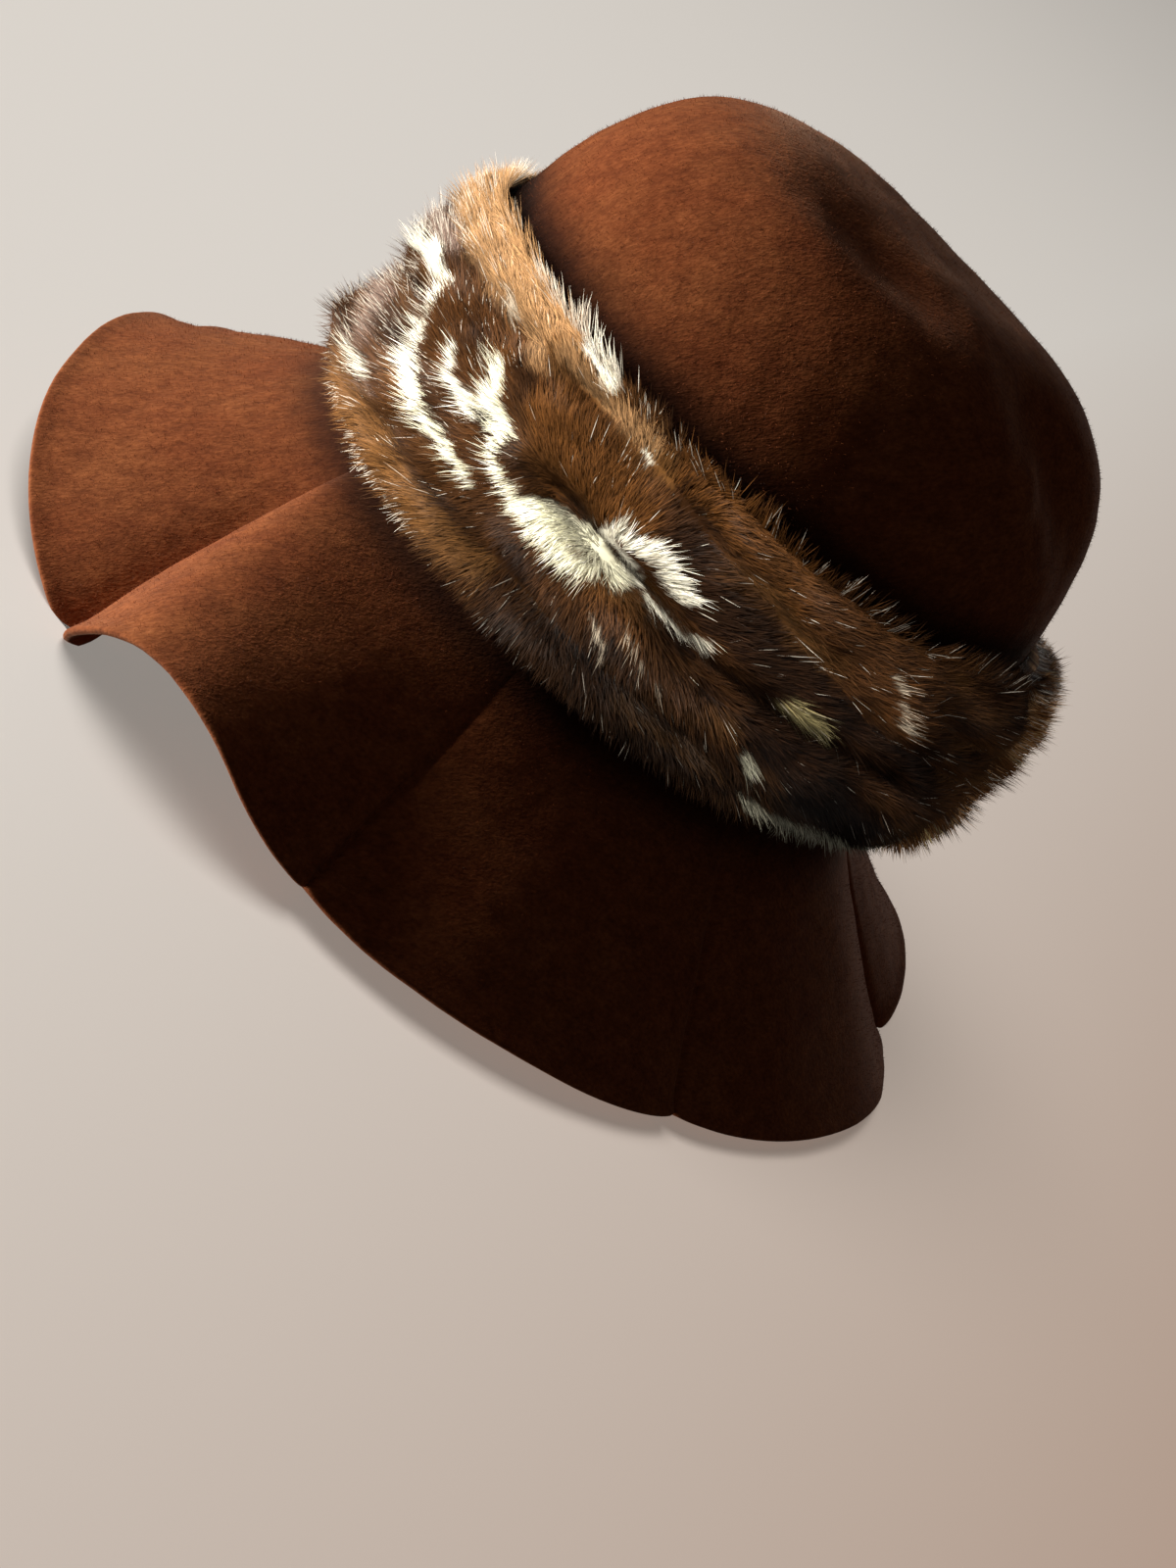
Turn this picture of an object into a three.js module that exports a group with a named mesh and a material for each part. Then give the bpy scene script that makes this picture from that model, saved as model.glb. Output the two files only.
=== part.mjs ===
// Picture hat of brown velour felt, with a tall crown, a fluted drooping brim and a gathered fur band.
// Millimetres and degrees, +Z up. The front of the hat is toward -Y and the wearer's left toward +X.
// A turn is an angle around the crown seen from above: 0 at the left side, 90 at the back, -90 in front.
// The hat stands on the tips of its creases at z = 0, with the origin under the middle of its outline.

import * as THREE from 'three';

// Felt and clearances
const FELT = 2.6;
const SEAM_GAP = 0.3;
const FUR_CLEARANCE = 0.5;

// Head oval at the break, the line where the crown turns into the brim
const HEAD_HALF_LENGTH = 102;
const HEAD_HALF_WIDTH = 85;
const BREAK_HEIGHT = 61.5;

// Crown: a rounded box in profile, r^SIDE_POWER + h^TOP_POWER = 1, leaning as the soft felt does
const CROWN_HEIGHT = 142;
const SIDE_POWER = 4.6;
const TOP_POWER = 3.1;
const LEAN_TO_BACK = 4.3;
const LEAN_TO_LEFT = -3.4;
const SEAM_HEIGHT = 20;

// Soft dents of the crown: where they lie, how far they reach each way, their slant and their depth
const DENTS = [
  { turn: -22, climb: 63, reachAround: 26, reachUp: 15, slant: 0, depth: 7 },
  { turn: 60, climb: 51, reachAround: 29, reachUp: 15, slant: -42, depth: 8 },
  { turn: 160, climb: 55, reachAround: 30, reachUp: 18, slant: 10, depth: 4 },
];
const DENT_THROUGH = 30;

// Brim: half sizes of the rim through the crease tips, and how the flutes grow toward it
const RIM_HALF_LENGTH = 155;
const RIM_HALF_WIDTH = 153;
const RIM_SHIFT_TO_BACK = -1;
const FLUTE_GROWTH = 1.2;
const FLUTE_POWER = 2.4;
const FLUTE_SHOULDER = 1.6;
const BEND_START = 3;
const BEND_END = 0.12;

// Creases: their turn at the break and at the rim, and the height of the tip over the surface below
const CREASES = [
  { atBreak: -95, atRim: -102.75, tipHeight: 27 },
  { atBreak: -47, atRim: -41.2, tipHeight: -0.5 },
  { atBreak: -3, atRim: -4, tipHeight: 9 },
  { atBreak: 41.5, atRim: 42, tipHeight: 6 },
  { atBreak: 88, atRim: 100, tipHeight: -1.2 },
  { atBreak: 133, atRim: 138, tipHeight: 4 },
  { atBreak: 178, atRim: 180, tipHeight: 3 },
  { atBreak: 222, atRim: 221, tipHeight: -2 },
];

// Flutes, each from the crease of the same row to the next: how far the rim swells out and up,
// and the skew that moves the top of the flute toward its first crease (under 1) or its second.
// A flute may have a skew of its own at the break, and grow at its own rate toward the rim.
const FLUTES = [
  { out: 10.6, up: 5.8, skew: 0.6, skewAtBreak: 0.5, growth: 1.6 },
  { out: 13, up: 27, skew: 0.83, skewAtBreak: 0.3, growth: 0.9 },
  { out: 8, up: 2, skew: 1.1 },
  { out: 7, up: 3, skew: 1 },
  { out: 9, up: 10, skew: 1 },
  { out: 9, up: 12, skew: 1 },
  { out: 9, up: 12, skew: 1 },
  { out: 5, up: 8, skew: 1 },
];

// Fur band: heights of its edges over the break (middle, change toward the back, dip at the sides),
// how far it stands off the felt, and its rolls from the lowest up
const BAND_TOP = { middle: 76, toBack: 0, dip: 2 };
const BAND_FOOT = { middle: 9, toBack: 5, dip: 5 };
const BAND_DEPTH = { middle: 13.5, toBack: 2 };
const ROLLS = [
  { from: 0, to: 0.19, swell: 0.8 },
  { from: 0.19, to: 0.44, swell: 0.95 },
  { from: 0.44, to: 0.68, swell: 0.9 },
  { from: 0.68, to: 1, swell: 1 },
];
const ROLL_GROOVE = 0.55;
const EDGE_TUCK = 0.3;

// Fur end: the turns of the band that it takes the place of, its rise over the band, its drop under it,
// its depth, the share of the depth at its edges, and the turn left free on either side
const FUR_END = { firstTurn: 78, lastTurn: 108, rise: 2, drop: 1, depth: 17, edge: 0.25 };
const FUR_END_GAP = 0.2;
const CUSHION_POWER = 4;

// Facets
const TURN_STEP = 6;
const CROWN_ROWS = 14;
const FLUTE_COLUMNS = 9;
const ROLL_ROWS = 3;
const FUR_END_ROWS = 12;
const FUR_END_STEP = 3;
const BRIM_STEPS = [1, 0.93, 0.82, 0.68, 0.54, 0.4, 0.26, BEND_END];
const PROFILE_STEPS = 12;

const DEGREE = Math.PI / 180;

// Leans a point of the upright crown frame and sets it on the break.
function lean(point) {
  point.applyAxisAngle(new THREE.Vector3(1, 0, 0), -LEAN_TO_BACK * DEGREE);
  point.applyAxisAngle(new THREE.Vector3(0, 1, 0), LEAN_TO_LEFT * DEGREE);
  point.z += BREAK_HEIGHT;
  return point;
}

// Profile of the crown in the direction climb, 0 level and 90 straight up: radius and height as shares.
function crownProfile(climb) {
  const cos = Math.max(Math.cos(climb * DEGREE), 0);
  const sin = Math.sin(climb * DEGREE);
  let reach = Math.SQRT2;
  for (let step = 0; step < PROFILE_STEPS; step += 1) {
    const side = (reach * cos) ** SIDE_POWER;
    const top = (reach * sin) ** TOP_POWER;
    reach -= (side + top - 1) / ((SIDE_POWER * side + TOP_POWER * top) / reach);
  }
  return { radius: reach * cos, height: reach * sin * CROWN_HEIGHT };
}

// Radius of the crown, as a share of the head oval, at a height over the break.
function crownRadius(height) {
  return (1 - (height / CROWN_HEIGHT) ** TOP_POWER) ** (1 / SIDE_POWER);
}

// Point on the head oval scaled by share, standing off it by extra, at a height, in the upright frame.
function ovalPoint(turn, share, extra, height) {
  const x = (HEAD_HALF_WIDTH * share + extra) * Math.cos(turn * DEGREE);
  const y = (HEAD_HALF_LENGTH * share + extra) * Math.sin(turn * DEGREE);
  return new THREE.Vector3(x, y, height);
}

function smoothCrownPoint(turn, climb) {
  const { radius, height } = crownProfile(climb);
  return ovalPoint(turn, radius, 0, height);
}

// Each dent gets its own axes on the smooth crown: around, up and outward.
const dentAxes = DENTS.map((dent) => {
  const centre = smoothCrownPoint(dent.turn, dent.climb);
  const around = smoothCrownPoint(dent.turn + 1, dent.climb).sub(centre).normalize();
  const up = smoothCrownPoint(dent.turn, dent.climb + 1).sub(centre).normalize();
  const outward = new THREE.Vector3().crossVectors(around, up).normalize();
  around.applyAxisAngle(outward, dent.slant * DEGREE);
  up.crossVectors(outward, around);
  return { ...dent, centre, around, up, outward };
});

// Point on the felt of the crown, with its dents pressed in as soft round hollows.
function crownPoint(turn, climb) {
  const point = smoothCrownPoint(turn, climb);
  const smooth = point.clone();
  for (const dent of dentAxes) {
    const away = smooth.clone().sub(dent.centre);
    const around = away.dot(dent.around) / dent.reachAround;
    const up = away.dot(dent.up) / dent.reachUp;
    const through = away.dot(dent.outward) / DENT_THROUGH;
    const share = Math.exp(-(around ** 2) - up ** 2 - through ** 2);
    point.addScaledVector(dent.outward, -dent.depth * share);
  }
  return lean(point);
}

// Point on the fluted brim: flute number, place across it 0 to 1, and reach from break 0 to rim 1.
function brimPoint(flute, across, reach) {
  const first = CREASES[flute];
  const next = CREASES[(flute + 1) % CREASES.length];
  const wrap = flute + 1 === CREASES.length ? 360 : 0;
  const breakTurn = THREE.MathUtils.lerp(first.atBreak, next.atBreak + wrap, across);
  const rimTurn = THREE.MathUtils.lerp(first.atRim, next.atRim + wrap, across) * DEGREE;
  const tipHeight = THREE.MathUtils.lerp(first.tipHeight, next.tipHeight, across);
  const { out, up, skew, skewAtBreak = skew, growth = FLUTE_GROWTH } = FLUTES[flute];
  const skewed = across ** THREE.MathUtils.lerp(skewAtBreak, skew, reach);
  const swell = 1 - Math.abs(2 * skewed - 1) ** FLUTE_POWER;
  const grown = reach ** growth;
  const outward = out * swell ** (1 / FLUTE_SHOULDER) * grown;
  const upward = 0.5 * up * (swell + Math.sin(Math.PI * skewed) ** 2) * grown;
  const start = lean(ovalPoint(breakTurn, 1, 0, 0));
  const rimX = RIM_HALF_WIDTH * Math.cos(rimTurn);
  const rimY = RIM_HALF_LENGTH * Math.sin(rimTurn) + RIM_SHIFT_TO_BACK;
  const rim = new THREE.Vector3(rimX, rimY, tipHeight);
  const point = start.lerp(rim, reach);
  point.x += outward * Math.cos(rimTurn);
  point.y += outward * Math.sin(rimTurn);
  point.z += upward;
  return point;
}

// One upright line of the brim, from the rim up over the bend to the top of its collar.
function brimColumn(flute, across) {
  const first = CREASES[flute];
  const next = CREASES[(flute + 1) % CREASES.length];
  const wrap = flute + 1 === CREASES.length ? 360 : 0;
  const turn = THREE.MathUtils.lerp(first.atBreak, next.atBreak + wrap, across);
  const slope = BRIM_STEPS.map((reach) => brimPoint(flute, across, reach));
  const collar = lean(ovalPoint(turn, crownRadius(BEND_START), 0, BEND_START));
  const corner = lean(ovalPoint(turn, 1, 0, 0));
  const bend = collar.clone().add(slope[slope.length - 1]).multiplyScalar(0.25);
  bend.addScaledVector(corner, 0.5);
  const seam = SEAM_HEIGHT - SEAM_GAP;
  return [...slope, bend, collar, lean(ovalPoint(turn, crownRadius(seam), 0, seam))];
}

// The grid moved into the felt by its thickness, against the outward side of each grid point.
function insideOf(columns, thickness, around) {
  const last = columns.length - 1;
  return columns.map((column, c) => column.map((point, r) => {
    const before = around ? columns[(c + last) % columns.length] : columns[Math.max(c - 1, 0)];
    const after = around ? columns[(c + 1) % columns.length] : columns[Math.min(c + 1, last)];
    const across = after[r].clone().sub(before[r]);
    const upward = column[Math.min(r + 1, column.length - 1)].clone().sub(column[Math.max(r - 1, 0)]);
    const outward = across.cross(upward).normalize();
    return point.clone().addScaledVector(outward, -thickness);
  }));
}

// A wall between an outer and an inner grid of columns, each column running upward.
// It closes around the hat, or ends in two flat ends, and poles close it on top.
function wallGeometry(outer, inner, { around, poles }) {
  const rows = outer[0].length;
  const points = [...outer.flat(), ...inner.flat()];
  const innerStart = outer.length * rows;
  const faces = [];
  const quad = (a, b, c, d) => faces.push(a, b, c, a, c, d);
  const outerAt = (c, r) => (c % outer.length) * rows + r;
  const innerAt = (c, r) => innerStart + outerAt(c, r);
  const spans = around ? outer.length : outer.length - 1;
  for (let c = 0; c < spans; c += 1) {
    for (let r = 0; r < rows - 1; r += 1) {
      quad(outerAt(c, r), outerAt(c + 1, r), outerAt(c + 1, r + 1), outerAt(c, r + 1));
      quad(innerAt(c, r), innerAt(c, r + 1), innerAt(c + 1, r + 1), innerAt(c + 1, r));
    }
    quad(innerAt(c, 0), innerAt(c + 1, 0), outerAt(c + 1, 0), outerAt(c, 0));
    if (poles) {
      faces.push(outerAt(c, rows - 1), outerAt(c + 1, rows - 1), points.length);
      faces.push(innerAt(c + 1, rows - 1), innerAt(c, rows - 1), points.length + 1);
    } else {
      quad(outerAt(c, rows - 1), outerAt(c + 1, rows - 1), innerAt(c + 1, rows - 1), innerAt(c, rows - 1));
    }
  }
  if (!around) {
    for (let r = 0; r < rows - 1; r += 1) {
      quad(outerAt(0, r), outerAt(0, r + 1), innerAt(0, r + 1), innerAt(0, r));
      quad(outerAt(spans, r), innerAt(spans, r), innerAt(spans, r + 1), outerAt(spans, r + 1));
    }
  }
  if (poles) {
    points.push(...poles);
  }
  const geometry = new THREE.BufferGeometry().setFromPoints(points);
  geometry.setIndex(faces);
  geometry.computeVertexNormals();
  return geometry;
}

function turnsBetween(first, last, step) {
  const count = Math.round((last - first) / step);
  return Array.from({ length: count + 1 }, (_, i) => first + ((last - first) * i) / count);
}

function makeCrown(material) {
  const lowest = Math.atan2(SEAM_HEIGHT / CROWN_HEIGHT, crownRadius(SEAM_HEIGHT)) / DEGREE;
  const climbStep = (90 - lowest) / CROWN_ROWS;
  const climbs = Array.from({ length: CROWN_ROWS }, (_, i) => lowest + climbStep * i);
  const turns = turnsBetween(0, 360, TURN_STEP).slice(0, -1);
  const outer = turns.map((turn) => climbs.map((climb) => crownPoint(turn, climb)));
  const inner = insideOf(outer, FELT, true);
  const top = crownPoint(0, 90);
  const insideTop = top.clone();
  insideTop.z -= FELT;
  const geometry = wallGeometry(outer, inner, { around: true, poles: [top, insideTop] });
  const crown = new THREE.Mesh(geometry, material);
  crown.name = 'crown';
  return crown;
}

function makeBrim(material) {
  const outer = [];
  for (let flute = 0; flute < FLUTES.length; flute += 1) {
    for (let column = 0; column < FLUTE_COLUMNS; column += 1) {
      const across = (1 - Math.cos((Math.PI * column) / FLUTE_COLUMNS)) / 2;
      outer.push(brimColumn(flute, across));
    }
  }
  const inner = insideOf(outer, FELT, true);
  // Felt that would go below the surface is pressed flat on it.
  for (const point of [...outer, ...inner].flat()) {
    point.z = Math.max(point.z, 0);
  }
  const brim = new THREE.Mesh(wallGeometry(outer, inner, { around: true }), material);
  brim.name = 'brim';
  return brim;
}

// Height of an edge of the band over the break at a turn.
function edgeHeight(edge, turn) {
  const sin = Math.sin(turn * DEGREE);
  return edge.middle + edge.toBack * sin - edge.dip * (1 - sin * sin);
}

function bandDepth(turn) {
  return BAND_DEPTH.middle + BAND_DEPTH.toBack * Math.sin(turn * DEGREE);
}

// Shares of the band's height, and how far it stands out there, as [share, swell] pairs.
function rollOutline() {
  const outline = [[0, EDGE_TUCK]];
  for (const { from, to, swell } of ROLLS) {
    for (let row = 1; row <= ROLL_ROWS; row += 1) {
      const place = row / ROLL_ROWS;
      const round = Math.sqrt(Math.max(1 - (2 * place - 1) ** 2, 0));
      const stands = swell * (ROLL_GROOVE + (1 - ROLL_GROOVE) * round);
      outline.push([THREE.MathUtils.lerp(from, to, place), stands]);
    }
  }
  outline[outline.length - 1][1] = EDGE_TUCK;
  return outline;
}

// Point that stands off the felt of the crown by extra at a height over the break.
function offCrown(turn, height, extra) {
  return lean(ovalPoint(turn, crownRadius(height), extra, height));
}

function makeFurBand(material) {
  const { firstTurn, lastTurn } = FUR_END;
  const turns = turnsBetween(lastTurn, firstTurn + 360, TURN_STEP);
  const outline = rollOutline();
  const column = (turn, stand) => {
    const foot = edgeHeight(BAND_FOOT, turn);
    const top = edgeHeight(BAND_TOP, turn);
    const heightAt = (share) => THREE.MathUtils.lerp(foot, top, share);
    return outline.map(([share, swell]) => offCrown(turn, heightAt(share), stand(swell)));
  };
  const outer = turns.map((turn) => column(turn, (swell) => FUR_CLEARANCE + bandDepth(turn) * swell));
  const inner = turns.map((turn) => column(turn, () => FUR_CLEARANCE));
  const band = new THREE.Mesh(wallGeometry(outer, inner, { around: false }), material);
  band.name = 'fur_band';
  return band;
}

// The upright end piece is a cushion, round from foot to top and across.
function makeFurEnd(material) {
  const { firstTurn, lastTurn, rise, drop, depth, edge } = FUR_END;
  const turns = turnsBetween(firstTurn + FUR_END_GAP, lastTurn - FUR_END_GAP, FUR_END_STEP);
  const column = (turn, stand) => {
    const foot = edgeHeight(BAND_FOOT, turn) - drop;
    const top = edgeHeight(BAND_TOP, turn) + rise;
    return Array.from({ length: FUR_END_ROWS + 1 }, (_, row) => {
      const share = row / FUR_END_ROWS;
      return offCrown(turn, THREE.MathUtils.lerp(foot, top, share), stand(turn, share));
    });
  };
  const swell = (turn, share) => {
    const across = (2 * (turn - firstTurn)) / (lastTurn - firstTurn) - 1;
    const upward = 2 * share - 1;
    const round = Math.sqrt((1 - across ** CUSHION_POWER) * (1 - upward ** CUSHION_POWER));
    return FUR_CLEARANCE + depth * THREE.MathUtils.lerp(edge, 1, round);
  };
  const outer = turns.map((turn) => column(turn, swell));
  const inner = turns.map((turn) => column(turn, () => FUR_CLEARANCE));
  const end = new THREE.Mesh(wallGeometry(outer, inner, { around: false }), material);
  end.name = 'fur_end';
  return end;
}

const felt = new THREE.MeshStandardMaterial({ color: 0x6e3420, roughness: 0.95, metalness: 0 });
const fur = new THREE.MeshStandardMaterial({ color: 0x5a3a22, roughness: 0.85, metalness: 0 });

const hat = new THREE.Group();
hat.add(makeCrown(felt), makeBrim(felt.clone()), makeFurBand(fur), makeFurEnd(fur.clone()));

// The origin goes under the middle of the hat's outline.
const outlineMiddle = new THREE.Box3().setFromObject(hat, true).getCenter(new THREE.Vector3());
hat.position.set(-outlineMiddle.x, -outlineMiddle.y, 0);

export default hat;
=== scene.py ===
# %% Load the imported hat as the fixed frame
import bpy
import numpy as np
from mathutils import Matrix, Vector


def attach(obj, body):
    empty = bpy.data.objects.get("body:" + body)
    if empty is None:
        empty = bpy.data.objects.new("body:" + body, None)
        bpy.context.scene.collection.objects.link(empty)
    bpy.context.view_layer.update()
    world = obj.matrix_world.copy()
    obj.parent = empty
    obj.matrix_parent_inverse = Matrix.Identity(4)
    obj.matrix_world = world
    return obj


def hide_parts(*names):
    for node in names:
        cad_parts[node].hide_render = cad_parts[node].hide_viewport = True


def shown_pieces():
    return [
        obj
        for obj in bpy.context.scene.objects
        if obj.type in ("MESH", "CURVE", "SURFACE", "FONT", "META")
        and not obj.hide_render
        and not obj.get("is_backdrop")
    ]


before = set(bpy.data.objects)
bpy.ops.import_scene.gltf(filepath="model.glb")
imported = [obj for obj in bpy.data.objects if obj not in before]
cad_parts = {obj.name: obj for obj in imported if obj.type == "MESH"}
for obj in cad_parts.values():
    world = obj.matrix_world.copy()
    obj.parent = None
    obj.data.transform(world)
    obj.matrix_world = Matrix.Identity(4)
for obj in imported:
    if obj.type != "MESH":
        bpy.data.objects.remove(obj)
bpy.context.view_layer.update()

# %% [markdown]
# A picture hat of brown velour felt, with a fluted brim and a gathered band of fur.
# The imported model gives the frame: crown, brim, fur_band and fur_end are thin walls and rounded solids.
# They have the right form and too few facets for a picture, and nothing on them looks like felt or fur.
# So each gets a finer piece on the same formulas, and the fur gets real strands.
# Lengths are worked out in millimetres and turned into metres at the very end.

MM = 0.001

# %% [markdown]
# The camera comes first, because it decides how fine each piece has to be.
# The hat was taken from its left side, a little from above, and the picture is rolled by 40 degrees.
# A camera is a place and a turned set of axes: right, up and back. They are built as rows of a matrix here.
# A pinhole picture can be framed off centre by a shift of the lens or by a small turn of the camera.
# The turn is used, because it leaves the lens alone when the camera later goes round the hat.

# %% Camera at the angle of the photograph
# Fitted to the hat's outline: the focal length in pixels, a place on the hat's axis in mm, the pixel
# that it falls on, the distance in mm, and three angles
PICTURE = np.array((1200.0, 1600.0))
FOCAL_PIXELS = 2965.14
AIM_POINT = np.array((-0.503, 3.367, 110.0))
AIM_PIXEL = np.array((717.13, 491.0))
CAMERA_DISTANCE = 848.0
CAMERA_CLIMB, CAMERA_TURN, CAMERA_ROLL = np.radians((18.44, -0.18, 40.12))
SENSOR_WIDTH, NEAREST_SEEN = 36.0, 0.01


def unit(v):
    """Vectors along the last axis, each divided by its own length."""
    return v / np.maximum(np.linalg.norm(v, axis=-1, keepdims=True), 1e-9)


def camera_axes():
    """Rows right, up, back: back points from the hat to the camera, and the roll turns right toward up.
    The small turn that follows carries the straight-ahead line onto the line through the aim pixel."""
    climb, turn, roll = CAMERA_CLIMB, CAMERA_TURN, CAMERA_ROLL
    back = np.array((np.cos(climb) * np.cos(turn), np.cos(climb) * np.sin(turn), np.sin(climb)))
    right = unit(np.cross((0, 0, 1), back))
    up = np.cross(back, right)
    level = np.array((right * np.cos(roll) + up * np.sin(roll), up * np.cos(roll) - right * np.sin(roll), back))
    aside = (AIM_PIXEL - PICTURE / 2) * (1, -1) / FOCAL_PIXELS
    ahead, aimed = np.array((0, 0, -1.0)), unit(np.array((*aside, -1.0)))
    axis, cosine = np.cross(ahead, aimed), ahead @ aimed
    skew = np.array(((0, -axis[2], axis[1]), (axis[2], 0, -axis[0]), (-axis[1], axis[0], 0)))
    small_turn = np.eye(3) + skew + skew @ skew / (1 + cosine)
    return small_turn @ level, back


axes, toward_camera = camera_axes()
camera_place = (AIM_POINT + CAMERA_DISTANCE * toward_camera) * MM
lens = bpy.data.cameras.new("camera")
lens.sensor_width = SENSOR_WIDTH
lens.lens = SENSOR_WIDTH * FOCAL_PIXELS / PICTURE.max()
lens.clip_start = NEAREST_SEEN
camera = bpy.data.objects.new("camera", lens)
bpy.context.scene.collection.objects.link(camera)
camera.matrix_world = Matrix.Translation(camera_place) @ Matrix(axes.T.tolist()).to_4x4()
bpy.context.scene.camera = camera
print("camera at", np.round(camera_place, 3), "with a lens of", round(lens.lens, 1), "mm")

# %% [markdown]
# Every surface here is a grid of points that is worked out at once and handed to a mesh in one go.
# Blender's modelling operators would do it one at a time and need a selection, which is slow and easy to upset.
# Two helpers build the mesh, and two more make a shader and lay a colour ramp into it.

# %% Helpers for meshes and materials
def add_mesh(name, points, faces, material):
    """A smooth mesh object from points in metres and a list of index arrays, each one holding faces of one size."""
    mesh = bpy.data.meshes.new(name)
    mesh.vertices.add(len(points))
    mesh.vertices.foreach_set("co", np.asarray(points, np.float32).ravel())
    corners = np.concatenate([f.ravel() for f in faces])
    sizes = np.concatenate([np.full(len(f), f.shape[1]) for f in faces])
    mesh.loops.add(len(corners))
    mesh.loops.foreach_set("vertex_index", corners.astype(np.int32))
    mesh.polygons.add(len(sizes))
    mesh.polygons.foreach_set("loop_start", np.concatenate(([0], np.cumsum(sizes)[:-1])).astype(np.int32))
    mesh.polygons.foreach_set("use_smooth", np.ones(len(sizes), bool))
    mesh.update(calc_edges=True)
    mesh.materials.append(material)
    made = bpy.data.objects.new(name, mesh)
    bpy.context.scene.collection.objects.link(made)
    print(name, "has", len(points), "points and", int((sizes - 2).sum()), "triangles")
    return made


def grid_faces(columns, rows, around, loop=False):
    """Quads between neighbours of a grid. Around joins the last column to the first, loop the last row."""
    c = np.arange(columns if around else columns - 1)[:, None]
    r = np.arange(rows if loop else rows - 1)[None, :]
    at = lambda i, j: (i % columns) * rows + j % rows
    return np.stack([at(c, r), at(c + 1, r), at(c + 1, r + 1), at(c, r + 1)], -1).reshape(-1, 4)


def new_material(name, colour, roughness, specular):
    """A material with a Principled shader; returns it with its node tree and the shader."""
    material = bpy.data.materials.new(name)
    material.use_nodes = True
    shader = material.node_tree.nodes["Principled BSDF"]
    shader.inputs["Base Color"].default_value = (*colour, 1)
    shader.inputs["Roughness"].default_value = roughness
    shader.inputs["Specular IOR Level"].default_value = specular
    return material, material.node_tree, shader


def add_ramp(tree, value, stops):
    """A colour ramp with (place, colour) stops."""
    ramp = tree.nodes.new("ShaderNodeValToRGB")
    elements = ramp.color_ramp.elements
    for i, (spot, colour) in enumerate(stops):
        stop = elements[i] if i < 2 else elements.new(spot)
        stop.position, stop.color = spot, (*colour, 1)
    tree.links.new(value, ramp.inputs["Fac"])
    return ramp.outputs["Color"]


# %% [markdown]
# The stage is one pale sheet that runs flat under the hat and rises in a wide curve far away, on all sides.
# It is a bowl, a profile turned round an axis, so no edge or corner shows from any angle.
# A big pale bowl would throw light back on the hat from all sides and wash out the soft dark side
# that the felt has by a window. So it is left out of the rays that light the hat.
# The paper's colour and its glow are painted warmer and darker away from the window, as a painted fall-off of light,
# over 0.4 m along one way on the floor.

# %% Stage
FLOOR_RADIUS, BOWL_RADIUS, BOWL_HEIGHT = 3.0, 5.0, 4.0
FLOOR_RINGS, BOWL_COLUMNS, BOWL_ROWS = (0.001, 0.4, 1.2, 2.2), 96, 16
# Painted fall-off of light: the paper's colour and glow grow darker and warmer along the fall way, away from the window
FALL_WAY, FALL_START, PAPER_GLOW = (0.52, 2.45, 0), 0.22, 0.29
PAPER_PAINTED_FALLOFF = (("Base Color", ((0, (0.46, 0.44, 0.415)), (1, (0.31, 0.235, 0.195)))),
              ("Emission Color", ((0, (0.92, 0.87, 0.80)), (1, (0.60, 0.45, 0.35)))))

paper, paper_tree, paper_shader = new_material("stage_paper", (0.46, 0.44, 0.42), 0.9, 0.2)
paper_place = paper_tree.nodes.new("ShaderNodeTexCoord").outputs["Object"]
paper_way = paper_tree.nodes.new("ShaderNodeVectorMath")
paper_way.operation = "DOT_PRODUCT"
paper_way.inputs[1].default_value = FALL_WAY
paper_tree.links.new(paper_place, paper_way.inputs[0])
painted_falloff = paper_tree.nodes.new("ShaderNodeMath")
painted_falloff.operation, painted_falloff.inputs[1].default_value = "ADD", FALL_START
paper_tree.links.new(paper_way.outputs["Value"], painted_falloff.inputs[0])
for socket, stops in PAPER_PAINTED_FALLOFF:
    paper_tree.links.new(add_ramp(paper_tree, painted_falloff.outputs["Value"], stops), paper_shader.inputs[socket])
paper_shader.inputs["Emission Strength"].default_value = PAPER_GLOW
turns = np.linspace(0, 2 * np.pi, BOWL_COLUMNS, endpoint=False)
rise = np.linspace(0, np.pi / 2, BOWL_ROWS)
rings = np.concatenate((FLOOR_RINGS, FLOOR_RADIUS + (BOWL_RADIUS - FLOOR_RADIUS) * np.sin(rise)))
ring_heights = np.concatenate((np.zeros(len(FLOOR_RINGS)), BOWL_HEIGHT * (1 - np.cos(rise))))
bowl = np.stack([np.outer(np.cos(turns), rings), np.outer(np.sin(turns), rings),
                 np.tile(ring_heights, (BOWL_COLUMNS, 1))], -1)
stage = add_mesh("stage_bowl", bowl.reshape(-1, 3), [grid_faces(BOWL_COLUMNS, len(rings), True)[:, ::-1]], paper)
stage.visible_diffuse = stage.visible_glossy = stage.visible_shadow = False
stage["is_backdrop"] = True

# %% [markdown]
# One low window in front of the hat lights it: the front of each piece is warm and bright, and the back sinks
# into brown. A sun or a point would give hard shadows, so each light is a soft square, as a window is.
# Felt takes that light softly, and real fur glows in it more than ribbons do, because it has far more hairs.
# So most lights are linked to one piece, and each piece gets the brightness that its own finish needs.

# %% Lights
LIGHTS_LOOK_AT = np.array((0, 0, 0.1))
DAYLIGHT, SOFT_DAYLIGHT = (1.0, 0.95, 0.88), (1.0, 0.95, 0.90)
ROOM_COLOUR = (0.034, 0.030, 0.028)
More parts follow.
